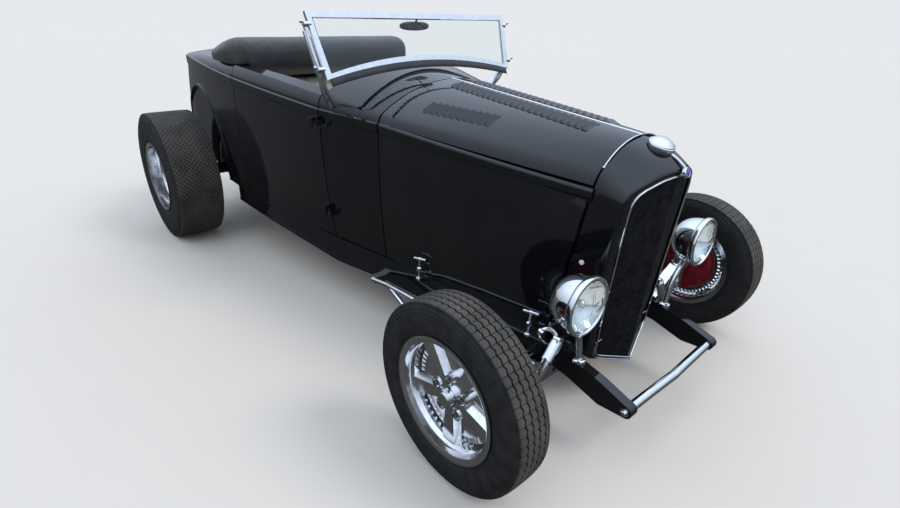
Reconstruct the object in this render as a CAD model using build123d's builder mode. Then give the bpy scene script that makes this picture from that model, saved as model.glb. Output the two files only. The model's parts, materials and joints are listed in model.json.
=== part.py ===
from build123d import *
from math import atan2, cos, hypot, radians, sin, tan
import os

# Fenderless street rod roadster on its own ladder frame. Millimetres, +Z up,
# the nose towards -Y, the car's left towards +X, the origin on the ground
# in the middle of the car.
os.makedirs("parts", exist_ok=True)

# Wheels and stance
wheelbase = 2692
front_axle_y = -1454
front_tyre_radius, front_tyre_width, front_rim_radius = 317, 142, 207
rear_tyre_radius, rear_tyre_width, rear_rim_radius = 395, 280, 214
front_wheel_x, rear_wheel_x = 762, 757
kingpin_x = 652
spindle_radius, front_drum, rear_drum = 16, 28, 100
steering_arm = 130

# Body panels
door_front, door_rear, panel_gap = 1219, 2020, 6
body_wall, deck_wall = 45, 30
cockpit_rear = 2150
hood_front_top, hood_front_lean = -50, 6.8
arch_aft, arch_height, arch_radius = 2696, 520, 412
wheelhouse_x = 520

# Frame rails
rail_width = 60
sides = (("right", -1), ("left", 1))


def aft(distance):
    """Place along Y of a point that lies this far aft of the front axle."""
    return front_axle_y + distance


def finish(part, name):
    part.label = name
    export_step(part, f"parts/{name}.step")


def section_plane(station):
    """Upright plane across the car, local x to the left and local y up."""
    return Plane(origin=(0, aft(station), 0), x_dir=(1, 0, 0), z_dir=(0, -1, 0))


def bar(start, end, radius, end_radius=None):
    """Round bar or tapered bar between two points of the open part."""
    axis = Vector(*end) - Vector(*start)
    with Locations(Plane(origin=start, z_dir=axis)):
        if end_radius is None:
            Cylinder(radius, axis.length, align=(Align.CENTER, Align.CENTER, Align.MIN))
        else:
            Cone(radius, end_radius, axis.length, align=(Align.CENTER, Align.CENTER, Align.MIN))


def bent_bar(points, radius):
    """Round bar along straight runs, with a ball at each bend."""
    for start, end in zip(points[:-1], points[1:]):
        bar(start, end, radius)
    with Locations(*points[1:-1]):
        Sphere(radius)


def slab(low, high, mode=Mode.ADD):
    """Box between two corners, given as x, distance aft and z."""
    size = [b - a for a, b in zip(low, high)]
    with Locations((low[0], aft(low[1]), low[2])):
        Box(*size, align=(Align.MIN, Align.MIN, Align.MIN), mode=mode)


# Frame rails. Columns: station, outer x, bottom z, top z.
rail_points = (
    (-330, 318, 180, 228),
    (-230, 318, 172, 262),
    (-100, 318, 208, 292),
    (0, 320, 228, 300),
    (140, 330, 226, 302),
    (500, 356, 214, 314),
    (900, 394, 219, 336),
    (1217, 464, 224, 353),
    (1850, 540, 283, 382),
    (2230, 556, 300, 399),
    (2440, 474, 420, 520),
    (2600, 470, 490, 580),
    (2850, 470, 490, 580),
    (3040, 470, 420, 520),
    (3215, 470, 400, 480),
)
# Sill between each rail and the hood side. Columns: station, outer x, bottom z, top z.
sill_points = (
    (32, 292, 298, 333),
    (400, 337, 308, 334),
    (870, 384, 330, 335),
)
rail_reveal, reveal_height, sill_wall = 3, 16, 5
rails = []


def rail_form(side, rows, wall, horn_wall):
    """Straight runs between stations: the plan outline, cut to the side outline."""
    with BuildPart() as form:
        with BuildSketch(Plane.XY) as plan:
            with BuildLine():
                outer = [(side * x, aft(y)) for y, x, low, top in rows]
                inner = [(side * (x - (horn_wall if y < 0 else wall)), aft(y)) for y, x, low, top in rows]
                Polyline(*outer, *reversed(inner), close=True)
            make_face()
        extrude(amount=900)
        with BuildSketch(Plane.YZ.offset(-900)) as side_view:
            with BuildLine():
                Polyline(*[(aft(y), low) for y, x, low, top in rows],
                         *[(aft(y), top) for y, x, low, top in reversed(rows)], close=True)
            make_face()
        extrude(amount=1800, mode=Mode.INTERSECT)
    return form.part


for name, side in sides:
    reveal_rows = [(y, x + rail_reveal, low, low + reveal_height) for y, x, low, top in rail_points[4:10]]
    with BuildPart() as rail:
        add(rail_form(side, rail_points, rail_width, 38))
        add(rail_form(side, reveal_rows, 10, 10))
        add(rail_form(side, sill_points, sill_wall, sill_wall))
        bar((side * 280, aft(-330), 204), (side * 318, aft(-330), 204), 24)
    finish(rail.part, f"rail_{name}")
    rails.append(rail.part)


# Body sections from the firewall to the start of the tail. Columns: station
# aft of the front axle, half width and height at the floor, at the belt, at
# the shoulder, and the height of the crown.
body_sections = (
    (900, 390, 339, 410, 937, 390, 994, 1112),
    (1219, 464, 362, 506, 962, 488, 1038, 1170),
    (1620, 532, 380, 550, 994, 530, 1078, 1190),
    (2020, 568, 398, 574, 1024, 553, 1107, 1190),
    (2330, 572, 412, 570, 1046, 545, 1121, 1184),
    (2640, 560, 440, 548, 1066, 520, 1125, 1172),
    (2950, 526, 510, 504, 1078, 470, 1114, 1150),
)
tail_end = (3262, 392, 668, 362, 900, 336, 916, 934)
tail_steps, tail_sweep = 4, 74
belt_band, belt_proud = 44, 6


def body_outline(floor_x, floor_z, belt_x, belt_z, shoulder_x, shoulder_z, crown_z, band=0, proud=0):
    """Closed outline of one body section on the open sketch, with its belt moulding."""
    side_top, shoulder_low = belt_z - band / 2, belt_z + band / 2
    bulge_x, middle_z = (floor_x + belt_x) / 2 + (belt_z - floor_z) * 0.02, (floor_z + side_top) / 2
    bend_x = shoulder_x + (belt_x - shoulder_x) * 0.68
    bend_z = shoulder_low + (shoulder_z - shoulder_low) * 0.56
    with BuildLine() as outline:
        Line((-floor_x, floor_z), (floor_x, floor_z))
        for side in (1, -1):
            ThreePointArc((side * floor_x, floor_z), (side * bulge_x, middle_z), (side * belt_x, side_top))
            if proud:
                Polyline((side * belt_x, side_top), (side * (belt_x + proud), side_top + proud),
                         (side * (belt_x + proud), shoulder_low - proud), (side * belt_x, shoulder_low))
            ThreePointArc((side * belt_x, shoulder_low), (side * bend_x, bend_z),
                          (side * shoulder_x, shoulder_z))
        ThreePointArc((shoulder_x, shoulder_z), (0, crown_z), (-shoulder_x, shoulder_z))
    make_face(outline.edges())


def row_at(rows, station):
    """Section row at any station, in proportion between the two rows beside it."""
    for row, after in zip(rows[:-1], rows[1:]):
        if station <= after[0]:
            break
    share = (station - row[0]) / (after[0] - row[0])
    return tuple(a + (b - a) * share for a, b in zip(row, after))


def tail_rows():
    """Rows of the rounded tail: each size eases from its slope in the deck to the end row."""
    before, start = body_sections[-2:]
    length = tail_end[0] - start[0]
    slopes = [(b - a) / (start[0] - before[0]) for a, b in zip(before, start)]
    rows = [start]
    for step in range(1, tail_steps + 1):
        angle = radians(tail_sweep * step / tail_steps)
        reach = length * sin(angle) / sin(radians(tail_sweep))
        ease = (1 - cos(angle)) / (1 - cos(radians(tail_sweep)))
        rows.append(tuple(a + slope * reach + (b - a - slope * length) * ease
                          for a, b, slope in zip(start, tail_end, slopes)))
    return rows


def body_form(rows):
    """Solid of the body's outside through section rows."""
    with BuildPart() as form:
        for station, *shape in rows:
            with BuildSketch(section_plane(station)):
                body_outline(*shape, band=belt_band, proud=belt_proud)
        loft()
    return form.part


def inner_form(rows):
    """Solid of the hollow inside, open below the floor."""
    with BuildPart() as form:
        for station, floor_x, floor_z, belt_x, belt_z, shoulder_x, shoulder_z, crown_z in rows:
            with BuildSketch(section_plane(station)):
                body_outline(floor_x - body_wall, floor_z - 150, belt_x - body_wall, belt_z - deck_wall,
                             shoulder_x - body_wall, shoulder_z - deck_wall, crown_z - deck_wall)
        loft(ruled=True)
    return form.part


# The solid forms from which the body's panels are cut
cowl_rear, rear_front = door_front - panel_gap / 2, door_rear + panel_gap / 2
cowl_solid = body_form((body_sections[0], row_at(body_sections, cowl_rear)))
door_solid = body_form(body_sections[1:4])
rear_rows = (row_at(body_sections, rear_front), *body_sections[4:7])
rear_solid = body_form(rear_rows)
tail_solid = body_form(tail_rows())


cowl_hollow = inner_form([row_at(body_sections, station) for station in (930, 1300)])
door_hollow = inner_form([row_at(body_sections, station) for station in (1200, 1620, 2040)])
rear_hollow = inner_form([row_at(body_sections, station) for station in (2000, 2330, 2640, 2950)])
tail_hollow = inner_form([(row[0] - (deck_wall if row[0] > 3200 else 0), *row[1:]) for row in tail_rows()])


def rail_top(station):
    """Height of the rail's top where the body sits on it."""
    return 339 + (station - 900) * 0.0455


# Cowl with its firewall, dash panel and the fixed halves of the door hinges
hinge_top_x, hinge_top_z = 546, 927
hinge_stations = (927, 509)
hinge_slope = 36 / 418


def hinge_x(height):
    return hinge_top_x - (hinge_top_z - height) * hinge_slope


def cut_to_rails():
    """Trims a body panel to the line where it sits on the rails."""
    with BuildSketch(Plane.YZ.offset(-900)) as side_view:
        with BuildLine():
            Polyline((aft(800), 0), (aft(2230), 0), (aft(2230), rail_top(2230) + 0.5),
                     (aft(800), rail_top(800) + 0.5), close=True)
        make_face()
    extrude(side_view.sketch, amount=1800, mode=Mode.SUBTRACT)


with BuildPart() as cowl:
    add(cowl_solid)
    add(cowl_hollow, mode=Mode.SUBTRACT)
    slab((-445, 1150, 905), (445, 1166, 1112))
    add(cowl_solid, mode=Mode.INTERSECT)
    cut_to_rails()
    for name, side in sides:
        for height in hinge_stations:
            bar((side * hinge_x(height - 22), aft(door_front), height - 22),
                (side * hinge_x(height - 1), aft(door_front), height - 1), 9)
            slab((min(side * 440, side * hinge_x(height)), door_front - 40, height - 22),
                 (max(side * 440, side * hinge_x(height)), door_front - panel_gap / 2, height - 1))
finish(cowl.part, "cowl")

# Doors, each a panel as thick as the real door, with its hinge leaves
cockpit_edge = 42
for name, side in sides:
    with BuildPart() as door:
        add(door_solid)
        slab((-900 if side < 0 else 0, door_front + panel_gap / 2, 300),
             (0 if side < 0 else 900, door_rear - panel_gap / 2, 1300), mode=Mode.INTERSECT)
        add(door_hollow, mode=Mode.SUBTRACT)
        with BuildSketch(Plane.XY.offset(200)):
            with BuildLine():
                Polyline((0, aft(1100)), (side * (490 - cockpit_edge), aft(1219)),
                         (side * (540 - cockpit_edge), aft(1700)),
                         (side * (556 - cockpit_edge), aft(2100)), (0, aft(2200)), close=True)
            make_face()
        extrude(amount=1200, mode=Mode.SUBTRACT)
        with BuildSketch(Plane.YZ.offset(-900)):
            with BuildLine():
                Polyline((aft(1100), 0), (aft(2200), 0), (aft(2200), rail_top(2200) + 8),
                         (aft(1100), rail_top(1100) + 8), close=True)
            make_face()
        extrude(amount=1800, mode=Mode.SUBTRACT)
        for height in hinge_stations:
            bar((side * hinge_x(height), aft(door_front), height),
                (side * hinge_x(height + 21), aft(door_front), height + 21), 9)
            slab((min(side * 455, side * hinge_x(height)), door_front + panel_gap / 2, height + 1),
                 (max(side * 455, side * hinge_x(height)), door_front + 40, height + 20))
    finish(door.part, f"door_{name}")

# Rear body: quarters, deck surround, tail, wheel houses, bulkhead, trunk floor
trunk_floor_z, trunk_floor_rear, bulkhead, wheelhouse_inner = 592, 3060, 2212, 505
lid_front, lid_front_half, lid_rear_half, lid_low_z, lid_gap = 2440, 375, 320, 790, 8
lid_pin, lid_barrel = (2434, 1184), 7


def lid_outline(clearance):
    """Plan of the trunk lid on the open sketch, grown by a clearance."""
    with BuildLine() as outline:
        Polyline((-lid_front_half - clearance, aft(lid_front - clearance)),
                 (lid_front_half + clearance, aft(lid_front - clearance)),
                 (lid_rear_half + clearance, aft(3400)), (-lid_rear_half - clearance, aft(3400)),
                 close=True)
    make_face(outline.edges())


rear_outside = rear_solid + tail_solid
arch_bead, arch_bead_proud = 14, 7


def widened(rows):
    """Section rows whose sides stand out by the height of the arch bead."""
    return [(station, floor_x + arch_bead_proud, floor_z, belt_x + arch_bead_proud, belt_z,
             shoulder_x + arch_bead_proud, *heights)
            for station, floor_x, floor_z, belt_x, belt_z, shoulder_x, *heights in rows]


with BuildPart() as rear_shell:
    add(tail_solid)
    add(tail_hollow, mode=Mode.SUBTRACT)
    add(rear_solid)
    add(rear_hollow, mode=Mode.SUBTRACT)

with BuildPart() as body_rear:
    add(rear_shell.part)
    with BuildPart(mode=Mode.PRIVATE) as inside_panels:
        slab((-560, bulkhead, 300), (560, bulkhead + 14, 1180))
        with BuildSketch(Plane.XY.offset(trunk_floor_z)):
            with BuildLine():
                edge = [(wheelhouse_inner + 1, bulkhead), (wheelhouse_inner + 1, 2640),
                        (430, trunk_floor_rear)]
                Polyline(*[(x, aft(y)) for x, y in edge],
                         *[(-x, aft(y)) for x, y in reversed(edge)], close=True)
            make_face()
        extrude(amount=12)
        for name, side in sides:
            low, high = sorted((side * wheelhouse_inner, side * wheelhouse_x))
            slab((low, 2284, 400), (high, 3120, 960))
        add(rear_outside, mode=Mode.INTERSECT)
    add(inside_panels.part)
    cut_to_rails()
    with BuildSketch(Plane.XY.offset(700)):
        with Locations((0, aft((door_rear - 20 + cockpit_rear) / 2))):
            RectangleRounded(2 * 512, cockpit_rear - door_rear + 40, 18)
    extrude(amount=800, mode=Mode.SUBTRACT)
    with BuildSketch(Plane.XY.offset(lid_low_z - lid_gap)):
        lid_outline(lid_gap)
    extrude(amount=700, mode=Mode.SUBTRACT)
    with BuildPart(mode=Mode.PRIVATE) as arch_beads:
        for rows in (rear_rows, tail_rows()):
            add(body_form(widened(rows)))
        with BuildSketch(Plane(origin=(-800, aft(arch_aft), arch_height), z_dir=(1, 0, 0))) as ring:
            Circle(arch_radius + arch_bead)
            Circle(arch_radius - 1, mode=Mode.SUBTRACT)
        extrude(amount=1600, mode=Mode.INTERSECT)
        slab((-wheelhouse_inner, 2000, 0), (wheelhouse_inner, 3300, 1300), mode=Mode.SUBTRACT)
        slab((-800, 2000, 0), (800, 3300, 415), mode=Mode.SUBTRACT)
    add(arch_beads.part)
    for name, side in sides:
        plane = Plane(origin=(side * wheelhouse_x, aft(arch_aft), arch_height), z_dir=(side, 0, 0))
        with BuildSketch(plane):
            Circle(arch_radius)
        extrude(amount=200, mode=Mode.SUBTRACT)
    add(rails, mode=Mode.SUBTRACT)
    for side in (-1, 1):
        bar((side * 130, aft(lid_pin[0]), lid_pin[1]), (side * 149, aft(lid_pin[0]), lid_pin[1]), lid_barrel)
        low, high = sorted((side * 130, side * 149))
        slab((low, lid_pin[0] - 32, lid_pin[1] - 18), (high, lid_pin[0] - 4, lid_pin[1] - 3))
finish(body_rear.part, "body_rear")

with BuildPart() as deck_lid:
    add(rear_shell.part)
    with BuildSketch(Plane.XY.offset(lid_low_z)):
        lid_outline(0)
    extrude(amount=700, mode=Mode.INTERSECT)
    for side in (-1, 1):
        bar((side * 150, aft(lid_pin[0]), lid_pin[1]), (side * 170, aft(lid_pin[0]), lid_pin[1]), lid_barrel)
        low, high = sorted((side * 150, side * 170))
        slab((low, lid_pin[0] + 4, lid_pin[1] - 20), (high, lid_pin[0] + 32, lid_pin[1] - 3))
finish(deck_lid.part, "deck_lid")

# Hood sections from the grille shell to the cowl, same columns as the body
hood_sections = (
    (-60, 293, 337, 228, 850, 200, 936, 1021),
    (400, 340, 338, 332, 893, 306, 968, 1064.88),
    (894, 389, 339, 409, 937, 389, 994, 1112),
)
hood_wall, rod_radius, rod_clear = 12, 4, 5.5


def hood_outline(inset, floor_x, floor_z, belt_x, belt_z, shoulder_x, shoulder_z, crown_z):
    body_outline(floor_x - inset, floor_z - 2 * inset, belt_x - inset, belt_z,
                 shoulder_x - inset, shoulder_z - inset, crown_z - inset)


def cut_hood_front():
    """Trims the front edge to the leaning plane where the grille shell starts."""
    lean = tan(radians(hood_front_lean))
    with BuildSketch(Plane.YZ.offset(-900)) as side_view:
        with BuildLine():
            Polyline((aft(-400), 1200), (aft(-400), 100), (aft(hood_front_top + lean * 885), 100),
                     (aft(hood_front_top - lean * 215), 1200), close=True)
        make_face()
    extrude(side_view.sketch, amount=1800, mode=Mode.SUBTRACT)


def belt_height(station):
    return 850 + (station + 60) * 0.0912


with BuildPart() as hood_outside:
    for station, *shape in hood_sections:
        with BuildSketch(section_plane(station)):
            hood_outline(0, *shape)
    loft()
with BuildPart() as hood_inside:
    for station, *shape in hood_sections:
        with BuildSketch(section_plane(station)):
            hood_outline(hood_wall, *shape)
    loft()
with BuildPart() as hood_shell:
    add(hood_outside.part)
    add(hood_inside.part, mode=Mode.SUBTRACT)
    cut_hood_front()


def below_belt(offset, mode):
    """Keeps or removes what lies below the belt line plus an offset."""
    with BuildSketch(Plane.YZ.offset(-900)) as side_view:
        with BuildLine():
            Polyline((aft(-200), 0), (aft(1000), 0), (aft(1000), belt_height(1000) + offset),
                     (aft(-200), belt_height(-200) + offset), close=True)
        make_face()
    extrude(side_view.sketch, amount=1800, mode=mode)


# Louvre rows in each hood top. Columns: first station, last station, x at the
# first and at the last, louvre length across, how many.
louvre_rows = (
    (95, 765, 66, 66, 84, 23),
    (415, 700, 222, 278, 78, 10),
)
louvre_run, louvre_rise = 20, 7


def hood_top_height(x, station):
    """Height of the hood's outside over a place, from the crown's arc there."""
    shoulder_x, shoulder_z, crown_z = row_at(hood_sections, station)[5:]
    drop = crown_z - shoulder_z
    arc_radius = (shoulder_x ** 2 + drop ** 2) / (2 * drop)
    return crown_z - arc_radius + (arc_radius ** 2 - x ** 2) ** 0.5


def add_louvres(side):
    """Wedges that rise towards the rear, each square to the hood's surface."""
    for first, last, first_x, last_x, across, count in louvre_rows:
        for step in range(count):
            station = first + (last - first) * step / (count - 1)
            x = first_x + (last_x - first_x) * step / (count - 1)
            inner_z, outer_z = (hood_top_height(x + shift, station) for shift in (-across / 2, across / 2))
            slope_y = (hood_top_height(x, station + 40) - hood_top_height(x, station - 40)) / 80
            across_direction = Vector(side * across, 0, outer_z - inner_z).normalized()
            along = Vector(0, 1, slope_y).normalized()
            corner = Vector(side * (x - across / 2), aft(station), inner_z)
            plane = Plane(origin=corner, x_dir=along, z_dir=across_direction)
            up_sign = 1 if plane.y_dir.Z > 0 else -1
            with BuildSketch(plane) as wedge:
                with BuildLine():
                    Polyline((0, -up_sign), (louvre_run, -up_sign), (louvre_run, up_sign * louvre_rise),
                             (louvre_run - 4, up_sign * louvre_rise), close=True)
                make_face()
            extrude(wedge.sketch, amount=across)


for name, side in sides:
    with BuildPart() as hood_side:
        add(hood_shell.part)
        below_belt(24, Mode.INTERSECT)
        slab((0 if side > 0 else -900, -200, 0), (900 if side > 0 else 0, 1000, 1500), mode=Mode.INTERSECT)
    finish(hood_side.part, f"hood_side_{name}")
    with BuildPart() as hood_top:
        add(hood_shell.part)
        below_belt(24 + panel_gap, Mode.SUBTRACT)
        slab((rod_clear if side > 0 else -900, -200, 0), (900 if side > 0 else -rod_clear, 1000, 1500),
             mode=Mode.INTERSECT)
        add_louvres(side)
    finish(hood_top.part, f"hood_top_{name}")


# The centre hinge rod of the hood, held by the grille shell and the cowl
hood_hinge_ends = (-57, 899.5)
with BuildPart() as hood_hinge:
    bar(*[(0, aft(station), row_at(hood_sections, station)[-1]) for station in hood_hinge_ends], rod_radius)
finish(hood_hinge.part, "hood_hinge")

with BuildPart() as crossmember_front:
    slab((-290, -60, 236), (290, 60, 290))
    add(rails, mode=Mode.SUBTRACT)
finish(crossmember_front.part, "crossmember_front")
with BuildPart() as crossmember_center:
    slab((-425, 1230, 250), (425, 1330, 330))
    add(rails, mode=Mode.SUBTRACT)
finish(crossmember_center.part, "crossmember_center")
with BuildPart() as crossmember_rear:
    slab((-410, 2770, 500), (410, 2850, 580))
finish(crossmember_rear.part, "crossmember_rear")

with BuildPart() as spreader_bar:
    bent_bar([(-279, aft(-330), 204), (0, aft(-339), 204), (279, aft(-330), 204)], 14)
finish(spreader_bar.part, "spreader_bar")

# Dropped I-beam front axle with its row of holes
beam_half, beam_low, beam_top = 22, 160, 216
with BuildPart() as front_axle:
    with BuildSketch(Plane.XZ.offset(-aft(-beam_half))):
        with BuildLine():
            Polyline((-430, beam_low), (430, beam_low), (560, 232), (kingpin_x, 246), (kingpin_x, 340),
                     (560, 300), (430, beam_top), (-430, beam_top), (-560, 300), (-kingpin_x, 340),
                     (-kingpin_x, 246), (-560, 232), close=True)
        make_face()
    extrude(amount=-2 * beam_half)
    for name, side in sides:
        bar((side * kingpin_x, aft(0), 236), (side * kingpin_x, aft(0), 350), 24)
    with Locations(*[(x, aft(0), (beam_low + beam_top) / 2) for x in range(-384, 385, 96)]):
        Cylinder(14, 100, rotation=(90, 0, 0), mode=Mode.SUBTRACT)
finish(front_axle.part, "front_axle")

leaf_thickness = 8
with BuildPart() as front_spring:
    for leaf, reach in enumerate((440, 340, 240, 140)):
        middle = 203.5 + leaf * leaf_thickness
        end = middle - 12 * (reach / 440) ** 2
        with BuildSketch(Plane.XZ.offset(-aft(28))) as front_view:
            with BuildLine():
                ThreePointArc((-reach, end), (0, middle), (reach, end))
                Line((reach, end), (reach, end + leaf_thickness + 0.5))
                ThreePointArc((reach, end + leaf_thickness + 0.5), (0, middle + leaf_thickness + 0.5),
                              (-reach, end + leaf_thickness + 0.5))
                Line((-reach, end + leaf_thickness + 0.5), (-reach, end))
            make_face()
        extrude(amount=-32)
    for side in (-1, 1):
        bar((side * 436, aft(beam_half), 195), (side * 436, aft(64), 195), 11)
finish(front_spring.part, "front_spring")

for name, side in sides:
    with BuildPart() as radius_rod:
        bent_bar([(side * 450, aft(930), 230), (side * 450, aft(807), 249), (side * 466, aft(603), 273),
                  (side * 474, aft(30), 297)], 11)
        bent_bar([(side * 450, aft(807), 249), (side * 460, aft(675), 205), (side * 474, aft(30), 172)], 11)
        slab((min(side * 466, side * 482), beam_half, 158), (max(side * 466, side * 482), 38, 312))
        slab((min(side * 450, side * 370), 905, 215), (max(side * 450, side * 370), 945, 245))
        add(rails, mode=Mode.SUBTRACT)
    finish(radius_rod.part, f"radius_rod_{name}")
    with BuildPart() as front_shock:
        bar((side * 345, aft(-60), 357), (side * 392, aft(-58), 296), 22)
        bar((side * 392, aft(-58), 296), (side * 440, aft(-56), 231), 17)
        bent_bar([(side * 345, aft(-60), 350), (side * 338, aft(-30), 376), (side * 372, aft(0), 372),
                  (side * 312, aft(10), 296)], 9)
        add(rails, mode=Mode.SUBTRACT)
    finish(front_shock.part, f"front_shock_{name}")

# Headlamps on their curved stands, one lens node for the two
lamp_x, lamp_aft, lamp_z, lamp_radius = 394, -188, 565, 102
for name, side in sides:
    with BuildPart() as headlamp:
        with BuildSketch(Plane(origin=(side * lamp_x, aft(lamp_aft), lamp_z), x_dir=(0, 1, 0),
                               z_dir=(1, 0, 0))):
            with BuildLine():
                Polyline((120, 0), (8, 0), (8, lamp_radius - 12), (-4, lamp_radius - 12),
                         (-4, lamp_radius - 3), (0, lamp_radius), (14, lamp_radius - 1),
                         (16, lamp_radius - 6), (44, 92), (70, 80), (94, 60), (112, 34), close=True)
            make_face()
        revolve(axis=Axis((side * lamp_x, aft(lamp_aft), lamp_z), (0, 1, 0)))
        bent_bar([(side * 302, aft(-126), 292), (side * 318, aft(-126), 380), (side * 360, aft(-126), 440),
                  (side * 394, aft(-126), 500)], 14)
    finish(headlamp.part, f"headlamp_{name}")
with BuildPart() as lamp_lenses:
    for name, side in sides:
        with BuildSketch(Plane(origin=(side * lamp_x, aft(lamp_aft), lamp_z), x_dir=(0, 1, 0),
                               z_dir=(1, 0, 0))) as lens:
            with BuildLine():
                Polyline((7.5, 0), (7.5, lamp_radius - 13), (0, lamp_radius - 13), (-9, 62), (-14, 30),
                         (-15, 0), close=True)
            make_face()
        revolve(axis=Axis((side * lamp_x, aft(lamp_aft), lamp_z), (0, 1, 0)))
finish(lamp_lenses.part, "lamp_lenses")

# Grille shell, leaning forward as the nose does
lean_angle, shell_middle = radians(hood_front_lean), 485
shell_plane = Plane(origin=(0, aft(hood_front_top + tan(lean_angle) * shell_middle), 500),
                    x_dir=(1, 0, 0), z_dir=(0, -cos(lean_angle), -sin(lean_angle)))

# Outlines of the grille shell from rear to front, which round its top down to
# the nose. Columns: offset forward, half width at the belt, shoulder x,
# shoulder height, top height, heights on the shell's plane.
shell_sections = (
    (6, 228, 200, 439, 525),
    (90, 227, 199, 431, 504),
    (175, 225, 195, 413, 462),
    (260, 222, 188, 385, 404),
)


def shell_outline(belt_x, shoulder_x, shoulder, top):
    """Outline of the shell on the open sketch, with its V-shaped bottom."""
    with BuildLine() as outline:
        Line((0, -306), (196, -262))
        Line((0, -306), (-196, -262))
        for side in (1, -1):
            ThreePointArc((side * 196, -262), (side * (belt_x + 6), 130), (side * belt_x, 353))
            bend = (side * (belt_x * 0.3 + shoulder_x * 0.7), 353 + (shoulder - 353) * 0.62)
            ThreePointArc((side * belt_x, 353), bend, (side * shoulder_x, shoulder))
        ThreePointArc((shoulder_x, shoulder), (0, top), (-shoulder_x, shoulder))
    make_face(outline.edges())


def opening_outline(inset):
    """Outline of the grille opening on the open sketch, less an inset."""
    with BuildLine() as outline:
        Line((0, -271 + inset), (164 - inset, -226 + inset))
        Line((0, -271 + inset), (-164 + inset, -226 + inset))
        for side in (1, -1):
            low_corner, side_top = (side * (164 - inset), -226 + inset), (side * (196 - inset), 380)
            ThreePointArc(low_corner, (side * (189 - inset), 110), side_top)
            ThreePointArc(side_top, (side * (186 - inset), 398 - inset), (side * (168 - inset), 408 - inset))
        ThreePointArc((168 - inset, 408 - inset), (0, 446 - inset), (-168 + inset, 408 - inset))
    make_face(outline.edges())


# Nose line of the grille's V and its slope to the sides. Columns: z, how far
# the V's edge lies aft of the front axle, fall back for each mm to the side.
nose_rows = (
    (150, -151, 0.472),
    (1040, -213, 0.213),
)
nose_reach, shell_proud, bar_depth = 260, 9, 12
bar_pitch, bar_width, bar_slots = 9, 3.5, 41


def nose_wedge(proud):
    """Solid behind the V of the nose, moved forward by an amount."""
    with BuildPart() as wedge:
        for z, edge, fall in nose_rows:
            with BuildSketch(Plane.XY.offset(z)):
                with BuildLine():
                    side_y = aft(edge - proud + nose_reach * fall)
                    Polyline((0, aft(edge - proud)), (nose_reach, side_y), (nose_reach, aft(200)),
                             (-nose_reach, aft(200)), (-nose_reach, side_y), close=True)
                make_face()
        loft(ruled=True)
    return wedge.part


with BuildPart() as grille_shell:
    for offset, *shape in shell_sections:
        with BuildSketch(shell_plane.offset(offset)):
            shell_outline(*shape)
    loft()
    add(nose_wedge(shell_proud), mode=Mode.INTERSECT)
    with BuildSketch(shell_plane):
        opening_outline(0)
    extrude(amount=300, mode=Mode.SUBTRACT)
    slab((-400, -61, 150), (400, 200, 300), mode=Mode.SUBTRACT)
finish(grille_shell.part, "grille_shell")

with BuildPart() as grille_insert:
    add(nose_wedge(0))
    add(nose_wedge(-bar_depth), mode=Mode.SUBTRACT)
    with BuildSketch(shell_plane):
        opening_outline(0.5)
    extrude(amount=300, mode=Mode.INTERSECT)
    with BuildSketch(shell_plane):
        opening_outline(9)
        with BuildSketch(mode=Mode.PRIVATE) as bars:
            with GridLocations(bar_pitch, 1, bar_slots, 1):
                Rectangle(bar_width, 1200)
        add(bars.sketch, mode=Mode.SUBTRACT)
    extrude(amount=300, mode=Mode.SUBTRACT)
    slab((-400, -61, 150), (400, 200, 300), mode=Mode.SUBTRACT)
finish(grille_insert.part, "grille_insert")

with BuildPart() as radiator:
    slab((-190, 42, 292), (190, 100, 880))
finish(radiator.part, "radiator")

cap_tilt = radians(20)
cap_plane = Plane(origin=(0, aft(-127), 998), x_dir=(1, 0, 0), z_dir=(0, -sin(cap_tilt), cos(cap_tilt)))
with BuildPart() as radiator_cap:
    with BuildSketch(Plane(origin=cap_plane.origin, x_dir=(1, 0, 0), z_dir=-cap_plane.y_dir)):
        with BuildLine():
            Polyline((0, -16), (38, -16), (44, 0), (46, 5), (44, 10), (36, 18), (24, 24), (10, 27), (0, 27),
                     close=True)
        make_face()
    revolve(axis=Axis(cap_plane.origin, cap_plane.z_dir))
    add(grille_shell.part, mode=Mode.SUBTRACT)
finish(radiator_cap.part, "radiator_cap")

with BuildPart() as engine:
    slab((-240, 200, 235), (240, 800, 860))
    slab((-150, 790, 235), (150, 1225, 328))
finish(engine.part, "engine")

# Floor pan, seat, folded top and what the driver holds
floor_wall = 16
with BuildPart() as floor:
    with BuildSketch(Plane.XY):
        with BuildLine():
            edge = [(station, row_at(body_sections, station)[1] - body_wall - 8)
                    for station in (938, 1219, 1700, 2100, 2210)]
            Polyline(*[(x, aft(y)) for y, x in edge], *[(-x, aft(y)) for y, x in reversed(edge)], close=True)
        make_face()
    extrude(amount=900)
    with BuildSketch(Plane.YZ.offset(-900)):
        with BuildLine():
            Polyline((aft(938), rail_top(938)), (aft(2210), rail_top(2210)),
                     (aft(2210), rail_top(2210) + floor_wall), (aft(938), rail_top(938) + floor_wall),
                     close=True)
        make_face()
    extrude(amount=1800, mode=Mode.INTERSECT)
finish(floor.part, "floor")

with BuildPart() as seat_cushion:
    slab((-470, 1560, 425), (470, 2000, 690))
    fillet(seat_cushion.edges().filter_by(Axis.X), 40)
finish(seat_cushion.part, "seat_cushion")
with BuildPart() as seat_back:
    with BuildSketch(Plane.YZ.offset(-470)):
        with BuildLine():
            Polyline((aft(2002), 560), (aft(2110), 560), (aft(2140), 1030), (aft(2030), 1030), close=True)
        make_face()
    extrude(amount=940)
    fillet(seat_back.edges().filter_by(Axis.X), 30)
finish(seat_back.part, "seat_back")
boot_half, boot_end, boot_rear = 478, 560, 2300


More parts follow.
